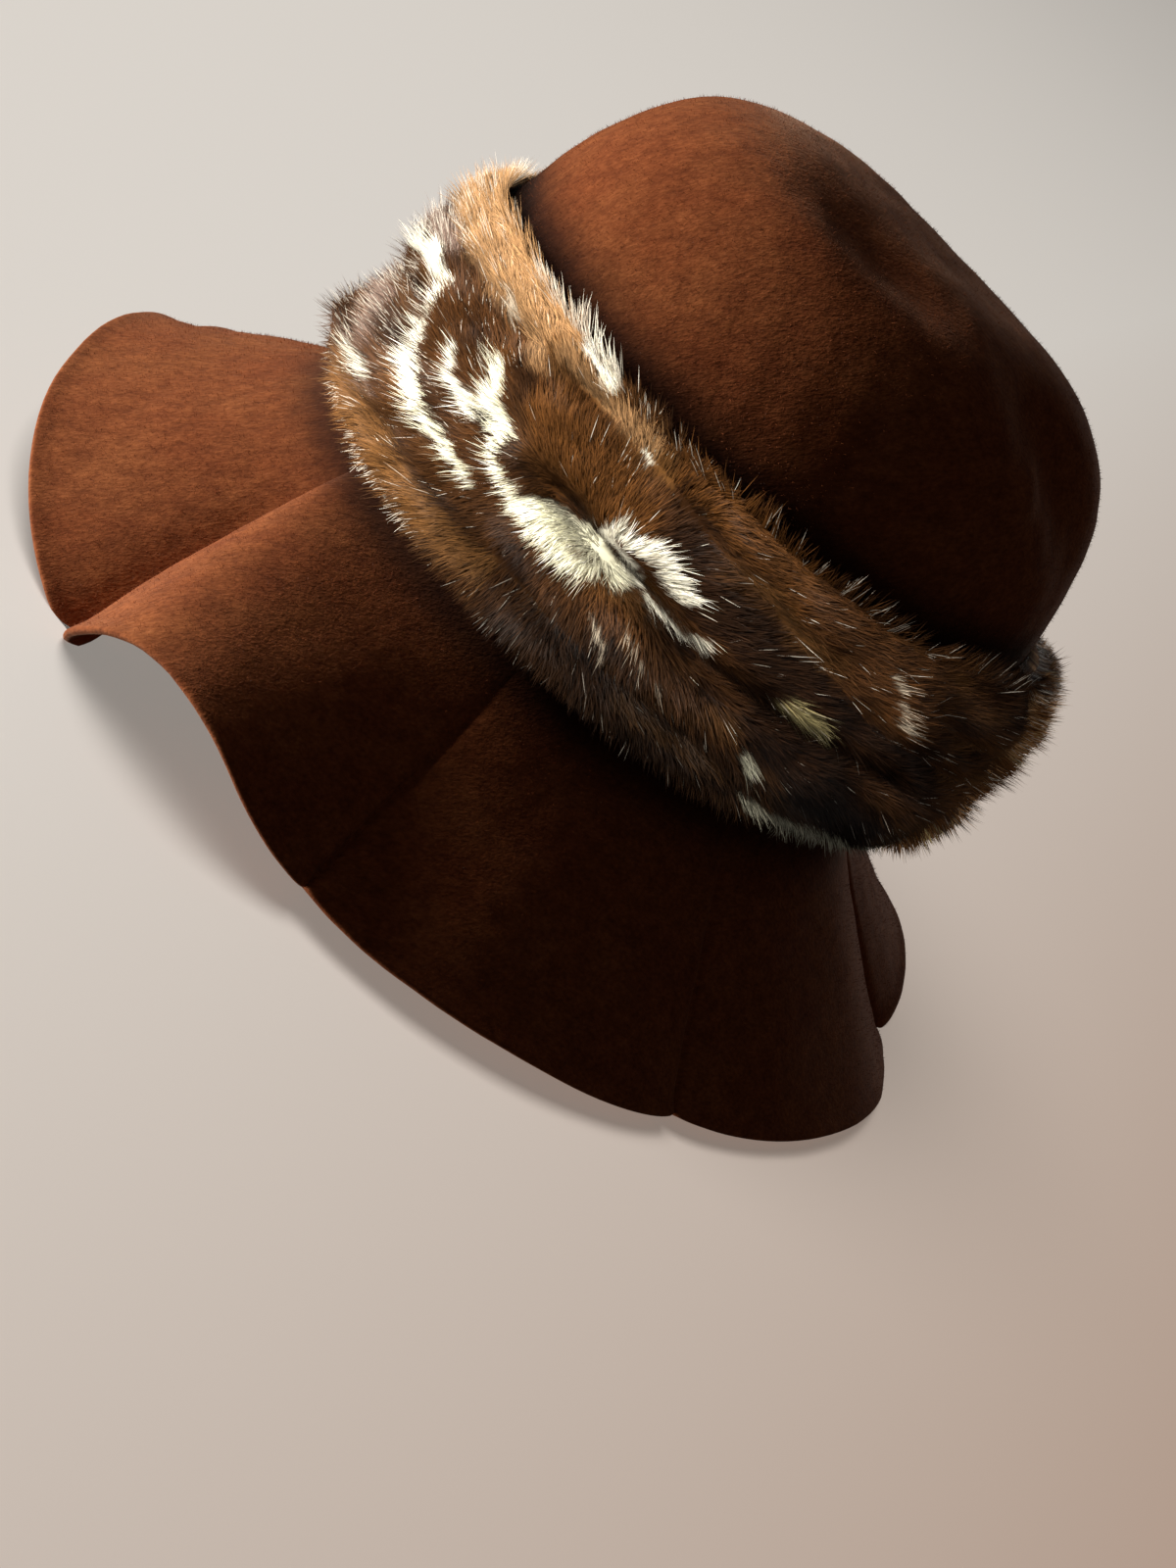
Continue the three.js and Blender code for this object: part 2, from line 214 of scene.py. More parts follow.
# Lights: name, way from the hat, distance and size in metres, watts, colour, and the group that it lights
LIGHTS = (
    ("window", (0.10, -0.985, 0.06), 1.5, 0.45, 28.5, DAYLIGHT, "crown"),
    ("low_window", (-0.03, -0.99, 0.085), 1.5, 0.45, 30.0, DAYLIGHT, "brim"),
    ("floor_bounce", (0.15, -0.75, -0.60), 1.2, 0.6, 12.0, SOFT_DAYLIGHT, "brim"),
    ("far_side_fill", (-0.93, 0.30, 0.02), 1.6, 0.9, 4.0, (1.0, 0.96, 0.92), "hat"),
    ("fur_lamp", (0.66, -0.71, 0.24), 1.5, 0.5, 64.0, (1.0, 0.94, 0.86), "fur"),
    ("fur_back_glow", (0.72, 0.66, 0.10), 1.5, 0.9, 6.0, SOFT_DAYLIGHT, "fur"),
    ("fur_far_glow", (-0.86, 0.30, 0.25), 1.5, 0.9, 9.0, SOFT_DAYLIGHT, "fur"),
    ("crown_rim", (-0.40, -0.88, 0.28), 1.5, 0.5, 3.0, DAYLIGHT, "crown"),
    ("ceiling", (0.10, -0.36, 0.92), 3.7, 2.8, 158.0, (1.0, 0.97, 0.94), "stage"),
)


def add_window(name, toward, distance, size, power, colour, lit):
    """A square soft light that looks at the middle of the hat from the direction toward, and lights what is lit."""
    light = bpy.data.lights.new(name, "AREA")
    light.size, light.energy, light.color = size, power, colour
    lamp = bpy.data.objects.new(name, light)
    bpy.context.scene.collection.objects.link(lamp)
    along = unit(np.array(toward, float))
    side = unit(np.cross((0, 0, 1), along))
    turned = Matrix(np.array((side, np.cross(along, side), along)).T.tolist()).to_4x4()
    lamp.matrix_world = Matrix.Translation(LIGHTS_LOOK_AT + along * distance) @ turned
    lamp.light_linking.receiver_collection = lit


LIT = {name: bpy.data.collections.new("lit_" + name) for name in ("hat", "crown", "brim", "fur", "stage")}
LIT["stage"].objects.link(stage)
for *light_row, group in LIGHTS:
    add_window(*light_row, LIT[group])
world = bpy.data.worlds.new("soft_room")
world.use_nodes = True
world.node_tree.nodes["Background"].inputs["Color"].default_value = (*ROOM_COLOUR, 1)
bpy.context.scene.world = world
bpy.context.scene.view_settings.view_transform = "Standard"
print(len(LIGHTS), "lights,", sum(row[4] for row in LIGHTS), "watts in all")

# %% [markdown]
# The felt body is two walls: the crown over the seam under the band, and the brim below it.
# Both are surfaces of two parameters, the turn around the hat and a way up it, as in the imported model.
# A subdivided or sculpted mesh would also do, but formulas keep the felt exactly on the frame.
# Each wall is drawn as one closed line from inside to outside, so that its cut edge can be rounded.

# %% Sizes of the felt body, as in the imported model
# Lengths in mm, turns and climbs in degrees: turn 0 is the wearer's left, 90 the back, and climb 90 the top
ORIGIN_SHIFT = np.array((-0.50331, 3.36676, 0.0))
FELT = 2.6
HEAD_HALF_WIDTH, HEAD_HALF_LENGTH, BREAK_HEIGHT = 85.0, 102.0, 61.5
CROWN_HEIGHT, SIDE_POWER, TOP_POWER = 142.0, 4.6, 3.1
LEAN_TO_BACK, LEAN_TO_LEFT = np.radians((4.3, -3.4))
SEAM_HEIGHT, SEAM_GAP = 20.0, 0.3
FULL_TURN = 360
# Dents: turn, climb, reach around, reach up, slant, depth, reach through the felt, in degrees and mm
DENTS = (
    (-11, 62, 28, 14, 0, 5.4, 30),
    (60, 51, 29, 15, -42, 8, 30),
    (160, 55, 30, 18, 10, 4, 30),
    (48.5, 47.5, 5.5, 15, -28, -1.6, 20),
)


def lean(p):
    """Leans points of the upright crown frame to the back and to the left, and sets them on the break."""
    x, y, z = np.moveaxis(np.asarray(p, float), -1, 0)
    y, z = (y * np.cos(LEAN_TO_BACK) + z * np.sin(LEAN_TO_BACK),
            z * np.cos(LEAN_TO_BACK) - y * np.sin(LEAN_TO_BACK))
    x, z = (x * np.cos(LEAN_TO_LEFT) + z * np.sin(LEAN_TO_LEFT),
            z * np.cos(LEAN_TO_LEFT) - x * np.sin(LEAN_TO_LEFT))
    return np.stack([x, y, z + BREAK_HEIGHT], -1)


def crown_profile(climb):
    """Radius and height, as shares, where side power and top power add up to one: r**4.6 + h**3.1 = 1.
    Newton's steps find how far the line that climbs at that angle goes before it meets the curve."""
    cosine, sine = np.maximum(np.cos(np.radians(climb)), 0), np.sin(np.radians(climb))
    far = np.full(np.shape(climb), np.sqrt(2.0))
    for _ in range(12):
        side, top = (far * cosine) ** SIDE_POWER, (far * sine) ** TOP_POWER
        far = far - (side + top - 1) * far / (SIDE_POWER * side + TOP_POWER * top)
    return far * cosine, far * sine * CROWN_HEIGHT


def crown_radius(height):
    """Share of the head oval at a height over the break, from the same curve."""
    return (1 - (np.asarray(height, float) / CROWN_HEIGHT) ** TOP_POWER) ** (1 / SIDE_POWER)


def oval_point(turn, share, extra, height):
    """The head oval scaled by share and moved out by extra, at a height: x along cosine, y along sine."""
    a = np.radians(turn)
    return np.stack(np.broadcast_arrays((HEAD_HALF_WIDTH * share + extra) * np.cos(a),
                                        (HEAD_HALF_LENGTH * share + extra) * np.sin(a), height), -1)


def smooth_crown(turn, climb):
    """The crown before the dents: the head oval by the profile's radius, at the profile's height."""
    radius, height = crown_profile(climb)
    return oval_point(turn, radius, 0, height)


def crown_surface(turn, climb):
    """The smooth crown less a bell-shaped hollow for each dent, which falls off around, up and through.
    A negative depth makes a soft ridge."""
    smooth = smooth_crown(turn, climb)
    pressed = smooth.copy()
    for at_turn, at_climb, reach_around, reach_up, slant, depth, through in DENTS:
        centre = smooth_crown(np.float64(at_turn), np.float64(at_climb))
        around = unit(smooth_crown(np.float64(at_turn + 1), np.float64(at_climb)) - centre)
        up = unit(smooth_crown(np.float64(at_turn), np.float64(at_climb + 1)) - centre)
        out = unit(np.cross(around, up))
        around = around * np.cos(np.radians(slant)) + np.cross(out, around) * np.sin(np.radians(slant))
        up = np.cross(out, around)
        away = smooth - centre
        far = (away @ around / reach_around) ** 2 + (away @ up / reach_up) ** 2 + (away @ out / through) ** 2
        pressed = pressed - depth * np.exp(-far)[..., None] * out
    return lean(pressed)


print("top of the crown at", np.round(crown_surface(np.float64(0), np.float64(90)), 1), "mm")


# %% Soft unevenness and wall helpers
def soft_waves(p, length, seed, count=10):
    """Sum of sine waves in random directions, about one wave per length, between -1 and 1 or so."""
    rng = np.random.default_rng(seed)
    ways = unit(rng.normal(size=(count, 3))) * 2 * np.pi / (length * rng.uniform(0.7, 1.5, (count, 1)))
    return np.sin(p @ ways.T + rng.uniform(0, 2 * np.pi, count)).sum(-1) / np.sqrt(count)


def uneven(p, waves):
    """Sum of soft waves, each given as (height in mm, length in mm, seed)."""
    return sum(height * soft_waves(p, length, seed) for height, length, seed in waves)


def grid_normals(p):
    """Cross product of the step around and the step up at each point of a grid that closes round the hat.
    It points outward where the rows run upward."""
    return unit(np.cross(np.roll(p, -1, 0) - np.roll(p, 1, 0), np.gradient(p, axis=1)))


def rounded_edge(outer, inner, steps=7):
    """Half circle from inner to outer round a cut edge; both are grids whose row 0 is the edge."""
    middle = (outer[:, :1] + inner[:, :1]) / 2
    half = (outer[:, :1] - inner[:, :1]) / 2
    beyond = unit(outer[:, :1] - outer[:, 1:2]) * np.linalg.norm(half, axis=-1, keepdims=True)
    a = np.linspace(-np.pi / 2, np.pi / 2, steps + 2)[1:-1][None, :, None]
    return middle + half * np.sin(a) + beyond * np.cos(a)


def to_metres(p):
    """Points of the upright hat in mm, moved to the frame's origin, as one list in metres."""
    return (p.reshape(-1, 3) + ORIGIN_SHIFT) * MM


# %% Crown surface
CROWN_COLUMNS, CROWN_ROWS, CROWN_INSIDE_ROWS = 360, 104, 40
CROWN_WAVES = ((0.35, 42, 3), (0.10, 11, 4))
lowest = np.degrees(np.arctan2(SEAM_HEIGHT / CROWN_HEIGHT, crown_radius(SEAM_HEIGHT)))


def crown_wall():
    """One line per column: from under the pole down the inside, round the foot, and up the outside."""
    turn = np.linspace(0, FULL_TURN, CROWN_COLUMNS, endpoint=False)[:, None]
    climb = lowest + (90 - lowest) * np.linspace(0, 1, CROWN_ROWS, endpoint=False)[None, :]
    outer = crown_surface(turn + 0 * climb, climb + 0 * turn)
    normal = grid_normals(outer)
    outer = outer + normal * uneven(outer, CROWN_WAVES)[..., None]
    inner = outer - FELT * normal
    picked = np.linspace(0, CROWN_ROWS - 1, CROWN_INSIDE_ROWS).round().astype(int)
    grid = np.concatenate([inner[:, picked][:, ::-1], rounded_edge(outer, inner), outer], 1)
    top = crown_surface(np.float64(0), np.float64(90))
    return grid, top - (0, 0, FELT), top


crown_grid, crown_inside_top, crown_top = crown_wall()
columns, rows = crown_grid.shape[:2]
first = np.arange(columns) * rows
crown_fans = np.concatenate([
    np.stack([np.full(columns, columns * rows), np.roll(first, -1), first], -1),
    np.stack([first + rows - 1, np.roll(first, -1) + rows - 1, np.full(columns, columns * rows + 1)], -1)])
crown_points = np.concatenate([crown_grid.reshape(-1, 3), crown_inside_top[None], crown_top[None]])
print("crown grid of", columns, "by", rows, "points, from", round(lowest, 1), "degrees of climb")

# %% [markdown]
# The brim flares from the crown in eight flutes between pressed creases, and hangs lower at its tips.
# Across a flute the rim swells outward and upward on a rounded curve, and the swell grows from the break.
# A quarter turn of felt joins it to the collar under the band, a curve through three known places.

# %% Sizes of the brim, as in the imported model
RIM_HALF_WIDTH, RIM_HALF_LENGTH, RIM_SHIFT_TO_BACK = 153.0, 155.0, -1.0
FLUTE_POWER, FLUTE_SHOULDER = 2.4, 1.6
BEND_START, BEND_END = 3.0, 0.12
# Creases: turn at the break, turn at the rim, height of the tip
CREASES = np.array((
    (-95, -102.75, 27), (-47, -41.2, -0.5), (-3, -4, 9), (41.5, 42, 6),
    (88, 100, -1.2), (133, 138, 4), (178, 180, 3), (222, 221, -2)))
# Flutes, each from its crease to the next: swell out, swell up, skew at the rim, skew at the break, growth
FLUTES = np.array((
    (10.6, 5.8, 0.6, 0.5, 1.6), (13, 27, 0.83, 0.3, 0.9), (8, 2, 1.1, 1.1, 1.2), (7, 3, 1, 1, 1.2),
    (9, 10, 1, 1, 1.2), (9, 12, 1, 1, 1.2), (9, 12, 1, 1, 1.2), (5, 8, 1, 1, 1.2)))


def crease_pair(flute):
    """The crease rows on both sides of a flute. After the last one the first comes again, a full turn on."""
    after_last = np.where(flute[..., None] + 1 == len(CREASES), (FULL_TURN, FULL_TURN, 0), 0)
    return CREASES[flute], CREASES[(flute + 1) % len(CREASES)] + after_last


def brim_surface(flute, across, reach):
    """A point of the slope: straight from the break to the rim, plus the flute's swell times reach**growth.
    The swell is 1 - |2 a**skew - 1|**2.4 across the flute, so it is zero and steep at both creases."""
    one, two = crease_pair(flute)
    at_break, at_rim, tip = np.moveaxis(one + (two - one) * across[..., None], -1, 0)
    out, up, skew, skew_at_break, growth = np.moveaxis(FLUTES[flute], -1, 0)
    skewed = across ** (skew_at_break + (skew - skew_at_break) * reach)
    swell = 1 - np.abs(2 * skewed - 1) ** FLUTE_POWER
    grown = reach ** growth
    rim_turn = np.radians(at_rim)
    rim = np.stack([RIM_HALF_WIDTH * np.cos(rim_turn),
                    RIM_HALF_LENGTH * np.sin(rim_turn) + RIM_SHIFT_TO_BACK, tip], -1)
    start = lean(oval_point(at_break, 1, 0, 0))
    point = start + (rim - start) * reach[..., None]
    outward = out * np.maximum(swell, 0) ** (1 / FLUTE_SHOULDER) * grown
    upward = 0.5 * up * (swell + np.sin(np.pi * skewed) ** 2) * grown
    return point + np.stack([outward * np.cos(rim_turn), outward * np.sin(rim_turn), upward], -1)


# %% Brim surface
FLUTE_COLUMNS, SLOPE_ROWS, BEND_ROWS, COLLAR_ROWS = 44, 46, 7, 4
RIM_REACH, FLAT_BELOW_BREAK = 0.994, 20
CREASE_PRESS, CREASE_REACH = 1.1, 1.5
PANEL_DIP, PANEL_DIP_REACH = 3.4, 11
BEAD_HEIGHT, BEAD_REACH = 0.8, 2.6
BRIM_WAVES = ((0.5, 55, 7), (0.10, 12, 8))


def crease_depth(outer):
    """A crease is pressed in, which falls off as a bell curve to either side of it.
    The first panel also dips under its neighbour, as a wider bell curve before their crease."""
    crease = outer[::FLUTE_COLUMNS]
    flute = (np.arange(len(outer)) // FLUTE_COLUMNS)[:, None]
    before = np.linalg.norm(outer - crease[flute[:, 0]], axis=-1)
    after = np.linalg.norm(outer - crease[(flute[:, 0] + 1) % len(crease)], axis=-1)
    dip = np.where(flute == 0, PANEL_DIP * np.exp(-(after / PANEL_DIP_REACH) ** 2), 0)
    return CREASE_PRESS * np.exp(-(np.minimum(before, after) / CREASE_REACH) ** 2) + dip


def rim_bead(outer):
    """The rim is turned up a little at the edge, falling off as a bell curve."""
    return BEAD_HEIGHT * np.exp(-(np.linalg.norm(outer - outer[:, :1], axis=-1) / BEAD_REACH) ** 2)


def brim_wall():
    """One closed line per column: down the inside to the rim, round its cut edge, and up the outside."""
    flute = np.repeat(np.arange(len(FLUTES)), FLUTE_COLUMNS)[:, None]
    across = np.tile((1 - np.cos(np.pi * np.arange(FLUTE_COLUMNS) / FLUTE_COLUMNS)) / 2, len(FLUTES))[:, None]
    reach = np.linspace(RIM_REACH, BEND_END, SLOPE_ROWS)[None, :]
    slope = brim_surface(*np.broadcast_arrays(flute, across, reach))
    one, two = crease_pair(flute[:, 0])
    turn = one[:, :1] + (two - one)[:, :1] * across
    corner = lean(oval_point(turn, 1, 0, 0 * turn))
    heights = np.linspace(BEND_START, SEAM_HEIGHT - SEAM_GAP, COLLAR_ROWS)[None, :]
    collar = lean(oval_point(turn, crown_radius(heights), 0, heights + 0 * turn))
    t = np.linspace(0, 1, BEND_ROWS + 2)[1:-1][None, :, None]
    bend = slope[:, -1:] * (1 - t) ** 2 + corner * 2 * t * (1 - t) + collar[:, :1] * t ** 2
    outer = np.concatenate([slope, bend, collar], 1)
    normal = grid_normals(outer)
    fade = np.clip((BREAK_HEIGHT - outer[..., 2]) / FLAT_BELOW_BREAK, 0, 1)
    outer = outer - normal * (fade * crease_depth(outer))[..., None] + normal * rim_bead(outer)[..., None]
    outer = outer + normal * (fade * uneven(outer, BRIM_WAVES))[..., None]
    inner = outer - FELT * normal
    edge = rounded_edge(outer, inner)
    grid = np.concatenate([inner[:, ::-1], edge, outer], 1)
    grid[..., 2] = np.maximum(grid[..., 2], 0)
    return grid


brim_grid = brim_wall()
print("brim from", np.round(brim_grid.min((0, 1)), 1), "to", np.round(brim_grid.max((0, 1)), 1), "mm")

# %% [markdown]
# Velour felt is brushed until a short, dense pile stands up. Two things show it: a brown that shifts in soft
# patches and short streaks where the pile lies differently, and a bright edge where light grazes the pile.
# The patches are noise on Object coordinates at three scales. The edge is the Sheen of the shader.
# Bump from fine noise breaks the light up, and loose fibres along the surface blur the outline.

# %% Felt material
BRUSHED_WAY = Vector((-0.204, 0.765, 0.611)).to_track_quat("X", "Z").to_euler()
# Noises: scale in waves for each metre, detail, stretch along the brushed way
COMBED, PATCHES, WIDE, FINE = (950, 3, 2.0), (230, 5, 1.6), (40, 3, 1.3), (1500, 2, 2.0)
FELT_DARK, FELT_BROWN, FELT_LIGHT = (0.180, 0.046, 0.014), (0.268, 0.074, 0.024), (0.355, 0.107, 0.038)
UNSHADED, DEEP_SHADE = (1, 1, 1), (0.06, 0.045, 0.04)


def add_noise(tree, coordinates, scale, detail, stretch):
    """A Noise texture on Object coordinates, drawn out along the way in which the felt was brushed."""
    mapping = tree.nodes.new("ShaderNodeMapping")
    mapping.vector_type = "TEXTURE"
    mapping.inputs["Scale"].default_value = (stretch, 1, 1)
    mapping.inputs["Rotation"].default_value = BRUSHED_WAY
    noise = tree.nodes.new("ShaderNodeTexNoise")
    noise.inputs["Scale"].default_value = scale
    noise.inputs["Detail"].default_value = detail
    noise.inputs["Roughness"].default_value = 0.6
    tree.links.new(coordinates, mapping.inputs["Vector"])
    tree.links.new(mapping.outputs["Vector"], noise.inputs["Vector"])
    return noise.outputs["Fac"]


def add_mix(tree, kind, share, one, two):
    """A Mix node for colours: kind is its blending, share its factor, or a link that drives it."""
    mix = tree.nodes.new("ShaderNodeMix")
    mix.data_type, mix.blend_type = "RGBA", kind
    if isinstance(share, float):
        mix.inputs["Factor"].default_value = share
    else:
        tree.links.new(share, mix.inputs["Factor"])
    tree.links.new(one, mix.inputs["A"])
    tree.links.new(two, mix.inputs["B"])
    return mix.outputs["Result"]


def add_bump(tree, shader, layers):
    """Bump nodes in a row, each (height, strength, distance in metres), ending in the shader's normal."""
    before = None
    for height, strength, distance in layers:
        bump = tree.nodes.new("ShaderNodeBump")
        bump.inputs["Strength"].default_value = strength
        bump.inputs["Distance"].default_value = distance
        tree.links.new(height, bump.inputs["Height"])
        if before is not None:
            tree.links.new(before, bump.inputs["Normal"])
        before = bump.outputs["Normal"]
    tree.links.new(before, shader.inputs["Normal"])


def velour(name):
    """Brown by short combed streaks of about 2 mm, patches of about 6 mm and wide shifts of about 40 mm."""
    material, tree, shader = new_material(name, FELT_BROWN, 0.95, 0.15)
    object_space = tree.nodes.new("ShaderNodeTexCoord").outputs["Object"]
    combed, patches, wide, fine = (add_noise(tree, object_space, *row) for row in (COMBED, PATCHES, WIDE, FINE))
    streaks = add_ramp(tree, combed, ((0.27, FELT_DARK), (0.50, FELT_BROWN), (0.74, FELT_LIGHT)))
    mottle = add_ramp(tree, patches, ((0.30, (0.74, 0.70, 0.66)), (0.72, (1.24, 1.30, 1.26))))
    shift = add_ramp(tree, wide, ((0.36, (0.92, 0.86, 0.82)), (0.66, (1.07, 1.14, 1.12))))
    colour = add_mix(tree, "MULTIPLY", 1.0, add_mix(tree, "MULTIPLY", 1.0, streaks, mottle), shift)
    # Painted shade: a ramp darkens the felt where it lies beside the fur
    beside = tree.nodes.new("ShaderNodeAttribute")
    beside.attribute_name = "painted_fur_shade"
    shade = add_ramp(tree, beside.outputs["Fac"], ((0, UNSHADED), (1, DEEP_SHADE)))
    colour = add_mix(tree, "MULTIPLY", 1.0, colour, shade)
    tree.links.new(colour, shader.inputs["Base Color"])
    shader.inputs["Sheen Weight"].default_value = 0.22
    shader.inputs["Sheen Roughness"].default_value = 0.35
    shader.inputs["Sheen Tint"].default_value = (1.0, 0.62, 0.42, 1)
    add_bump(tree, shader, ((patches, 0.35, 0.0006), (combed, 0.6, 0.0004), (fine, 0.6, 0.0003)))
    return material


velour_felt = velour("velour_felt")
crown = add_mesh("crown_felt", to_metres(crown_points),
                 [grid_faces(columns, rows, True), crown_fans], velour_felt)
brim = add_mesh("brim_felt", to_metres(brim_grid),
                [grid_faces(*brim_grid.shape[:2], True, loop=True)], velour_felt)
for piece, node in ((crown, "crown"), (brim, "brim")):
    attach(piece, "root")
    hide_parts(node)
print("velour of", len(velour_felt.node_tree.nodes), "nodes on", crown.name, "and", brim.name)

# %% [markdown]
# Strands are the one thing that bump can't give, because they show against the light.
# Blender can grow them from a particle system, but those strands are lost when the model leaves Blender.
# So each strand is a narrow ribbon of a few faces that ends in a point, and thousands lie in one mesh.
# All ribbons are worked out at once: roots on a surface, a first direction, and a bend toward a second one.

# %% Ribbons
def paint_tone(piece, tone):
    """Stores a linear colour for each point, under the name that a strand's finish reads."""
    layer = piece.data.color_attributes.new("strand_tone", "FLOAT_COLOR", "POINT")
    layer.data.foreach_set("color", np.concatenate([tone, np.ones((len(tone), 1))], 1).astype(np.float32).ravel())


def ribbon_piece(name, spine, width, out, tones, material, profile):
    """Ribbons from spines (strand, place along it, xyz) of mm width. The ribbon lies square to out, and
    profile gives its width at each place but the last, which is the point. Tones are linear colours."""
    strands, places = spine.shape[:2]
    along = unit(spine[:, -1] - spine[:, 0])
    side = unit(np.cross(out, along))
    half = side[:, None, :] * (width[:, None] * np.asarray(profile)[None, :])[..., None] / 2
    body = spine[:, :-1]
    points = np.concatenate([np.stack([body - half, body + half], 2).reshape(strands, -1, 3), spine[:, -1:]], 1)
    per = 2 * places - 1
    base = np.arange(strands)[:, None] * per
    quads = [base + np.array((2 * k, 2 * k + 1, 2 * k + 3, 2 * k + 2)) for k in range(places - 2)]
    point = base + np.array((per - 3, per - 2, per - 1))
    made = add_mesh(name, to_metres(points), [np.concatenate(quads), point] if quads else [point], material)
    paint_tone(made, np.concatenate([np.repeat(tones[:, :-1], 2, 1), tones[:, -1:]], 1).reshape(-1, 3))
    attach(made, "root")
    return made


# %% Loose fibres of the felt
FIBRES, FIBRE_LENGTH, FIBRE_WIDTH, FIBRE_ROOT, FIBRE_LEAN = 36000, 1.0, 0.13, 0.1, 0.55


def felt_fuzz(name, grid, seed):
    """Short straight fibres at random places of an outside grid, leaning off the normal at random.
    A quad is picked as often as its area asks, and two random shares give the place in it."""
    rng = np.random.default_rng(seed)
    normal = grid_normals(grid)
    columns, rows = grid.shape[:2]
    size = np.linalg.norm(np.cross(np.roll(grid, -1, 0)[:, :-1] - grid[:, :-1], grid[:, 1:] - grid[:, :-1]), axis=-1)
    chosen = rng.choice(size.size, FIBRES, p=(size / size.sum()).ravel())
    c, r = np.divmod(chosen, rows - 1)
    s, t = rng.random((2, FIBRES, 1))
    near, far = grid[c], grid[(c + 1) % columns]
    at = lambda g, k: g[np.arange(FIBRES), k]
    root = (at(near, r) * (1 - t) + at(near, r + 1) * t) * (1 - s) + (at(far, r) * (1 - t) + at(far, r + 1) * t) * s
    out = normal[c, r]
    way = unit(out + rng.normal(size=(FIBRES, 3)) * FIBRE_LEAN)
    far_out = FIBRE_LENGTH * rng.uniform(0.5, 1.2, (FIBRES, 1))
    spine = np.stack([root - FIBRE_ROOT * out, root + way * far_out], 1)
    tone = np.array(FELT_BROWN) * rng.uniform(0.7, 1.7, (FIBRES, 1, 1)) * np.ones((FIBRES, 2, 1))
    made = ribbon_piece(name, spine, np.full(FIBRES, FIBRE_WIDTH), out, tone, fuzz_finish, (1.0,))


def strand_finish(name, roughness, specular, sheen):
    """A shader whose colour is the tone that each strand carries."""
    material, tree, shader = new_material(name, FELT_BROWN, roughness, specular)
    tone = tree.nodes.new("ShaderNodeAttribute")
    tone.attribute_name = "strand_tone"
    tree.links.new(tone.outputs["Color"], shader.inputs["Base Color"])
    shader.inputs["Sheen Weight"].default_value = sheen
    return material


fuzz_finish = strand_finish("felt_fibre", 0.9, 0.1, 0.2)
crown_outside = crown_grid[:, -CROWN_ROWS:]
brim_outside = brim_grid[:, -(SLOPE_ROWS + BEND_ROWS + COLLAR_ROWS):][:, :SLOPE_ROWS]
felt_fuzz("crown_nap", crown_outside, 21)
felt_fuzz("brim_nap", brim_outside, 22)

# %% [markdown]
# The band is one long strip of fur, gathered so that it stands in soft rolls round the crown.
# Under the strands there is a pelt, a closed rounded solid with the grooves of the gathers pressed in.
# Its two parameters are the turn and the share of its height, and the strands grow from the same formula.

# %% Grooves of the gathers
GROOVES_START, GROOVE_FADE = -110, 6
# Grooves: (turn, share) places, depth in mm, half width as a share of the height
GROOVES = (
    (((-110, 0.20), (-60, 0.16), (-40, 0.20), (-20, 0.24), (0, 0.22), (20, 0.17), (36, 0.10)), 2.6, 0.06),
    (((-110, 0.42), (-72, 0.47), (-58, 0.50), (-45, 0.46), (-30, 0.44)), 2.4, 0.06),
    (((-22, 0.56), (-11.5, 0.535), (-1, 0.51), (6, 0.492), (12, 0.46), (30, 0.46), (55, 0.44)), 6.0, 0.05),
    (((-30, 0.86), (-8, 0.84), (8, 0.80), (20, 0.75), (33, 0.665), (45, 0.61), (60, 0.55), (78, 0.50)), 3.4, 0.06),
    (((-110, 0.72), (-75, 0.78), (-50, 0.80), (-34, 0.82), (-16, 0.84)), 2.6, 0.05),
    (((44, 0.78), (60, 0.72), (80, 0.66)), 3.0, 0.05),
    (((104, 0.22), (150, 0.18), (200, 0.22), (252, 0.20)), 3.5, 0.045),
    (((104, 0.50), (140, 0.42), (175, 0.50), (215, 0.44), (252, 0.42)), 5.0, 0.055),
    (((104, 0.74), (160, 0.68), (205, 0.74), (252, 0.72)), 4.5, 0.05),
)


def band_wrapped(turn):
    """Turns along the band, from 108 at the back round the front to 438, brought to -180 to 180."""
    return np.where(turn > FULL_TURN / 2, turn - FULL_TURN, turn)


def grooves_at(turn, share):
    """Sum of bell curves across each groove's own line, which fades at both of its ends."""
    turn = band_wrapped(turn)
    turn = np.where(turn < GROOVES_START, turn + FULL_TURN, turn)
    total = np.zeros(np.broadcast(turn, share).shape)
    for places, depth, half in GROOVES:
        turns_at, shares_at = np.array(places).T
        line = np.interp(turn, turns_at, shares_at)
        fade = np.clip((turn - turns_at[0]) / GROOVE_FADE, 0, 1) * np.clip((turns_at[-1] - turn) / GROOVE_FADE, 0, 1)
        total = total + depth * fade * np.exp(-((share - line) / half) ** 2)
    return total


print(len(GROOVES), "grooves, the deepest", max(depth for _, depth, _ in GROOVES), "mm")

# %% Form of the pelt
FUR_CLEARANCE, LEAST_PELT, STRAND_ROOM = 0.5, 1.4, 2.2
# Edges: height over the break in the middle, rise to the back, dip at the sides
BAND_TOP, BAND_FOOT = (76, 0, 2), (9, 5, 5)
BAND_DEPTH, DEPTH_TO_BACK, FRONT_SAG = 13.5, 2.0, 5.0
OUTLINE_ACROSS, OUTLINE_OUT = 3.2, 2.4
PELT_WAVES = ((1.3, 30, 31), (0.7, 13, 32))
FRONT_TURN, SAG_WIDTH, BULGE_WIDTH = -97, 24, 26
# Bulges in front: height in mm, share of the band's height, half width
FRONT_ROLLS = ((8.5, 0.09, 0.11), (-6.5, 0.44, 0.24))
TOP_GAP, GAP_BEGINS, LEAST_OPEN, FAR_OPEN = 6.0, 0.80, 0.05, 0.5
END_FIRST, END_LAST = 78.0, 108.0


def front_bell(turn, width):
    """A bell curve along the turn: 1 at the very front, falling off over its width in degrees."""
    return np.exp(-((band_wrapped(turn) - FRONT_TURN) / width) ** 2)


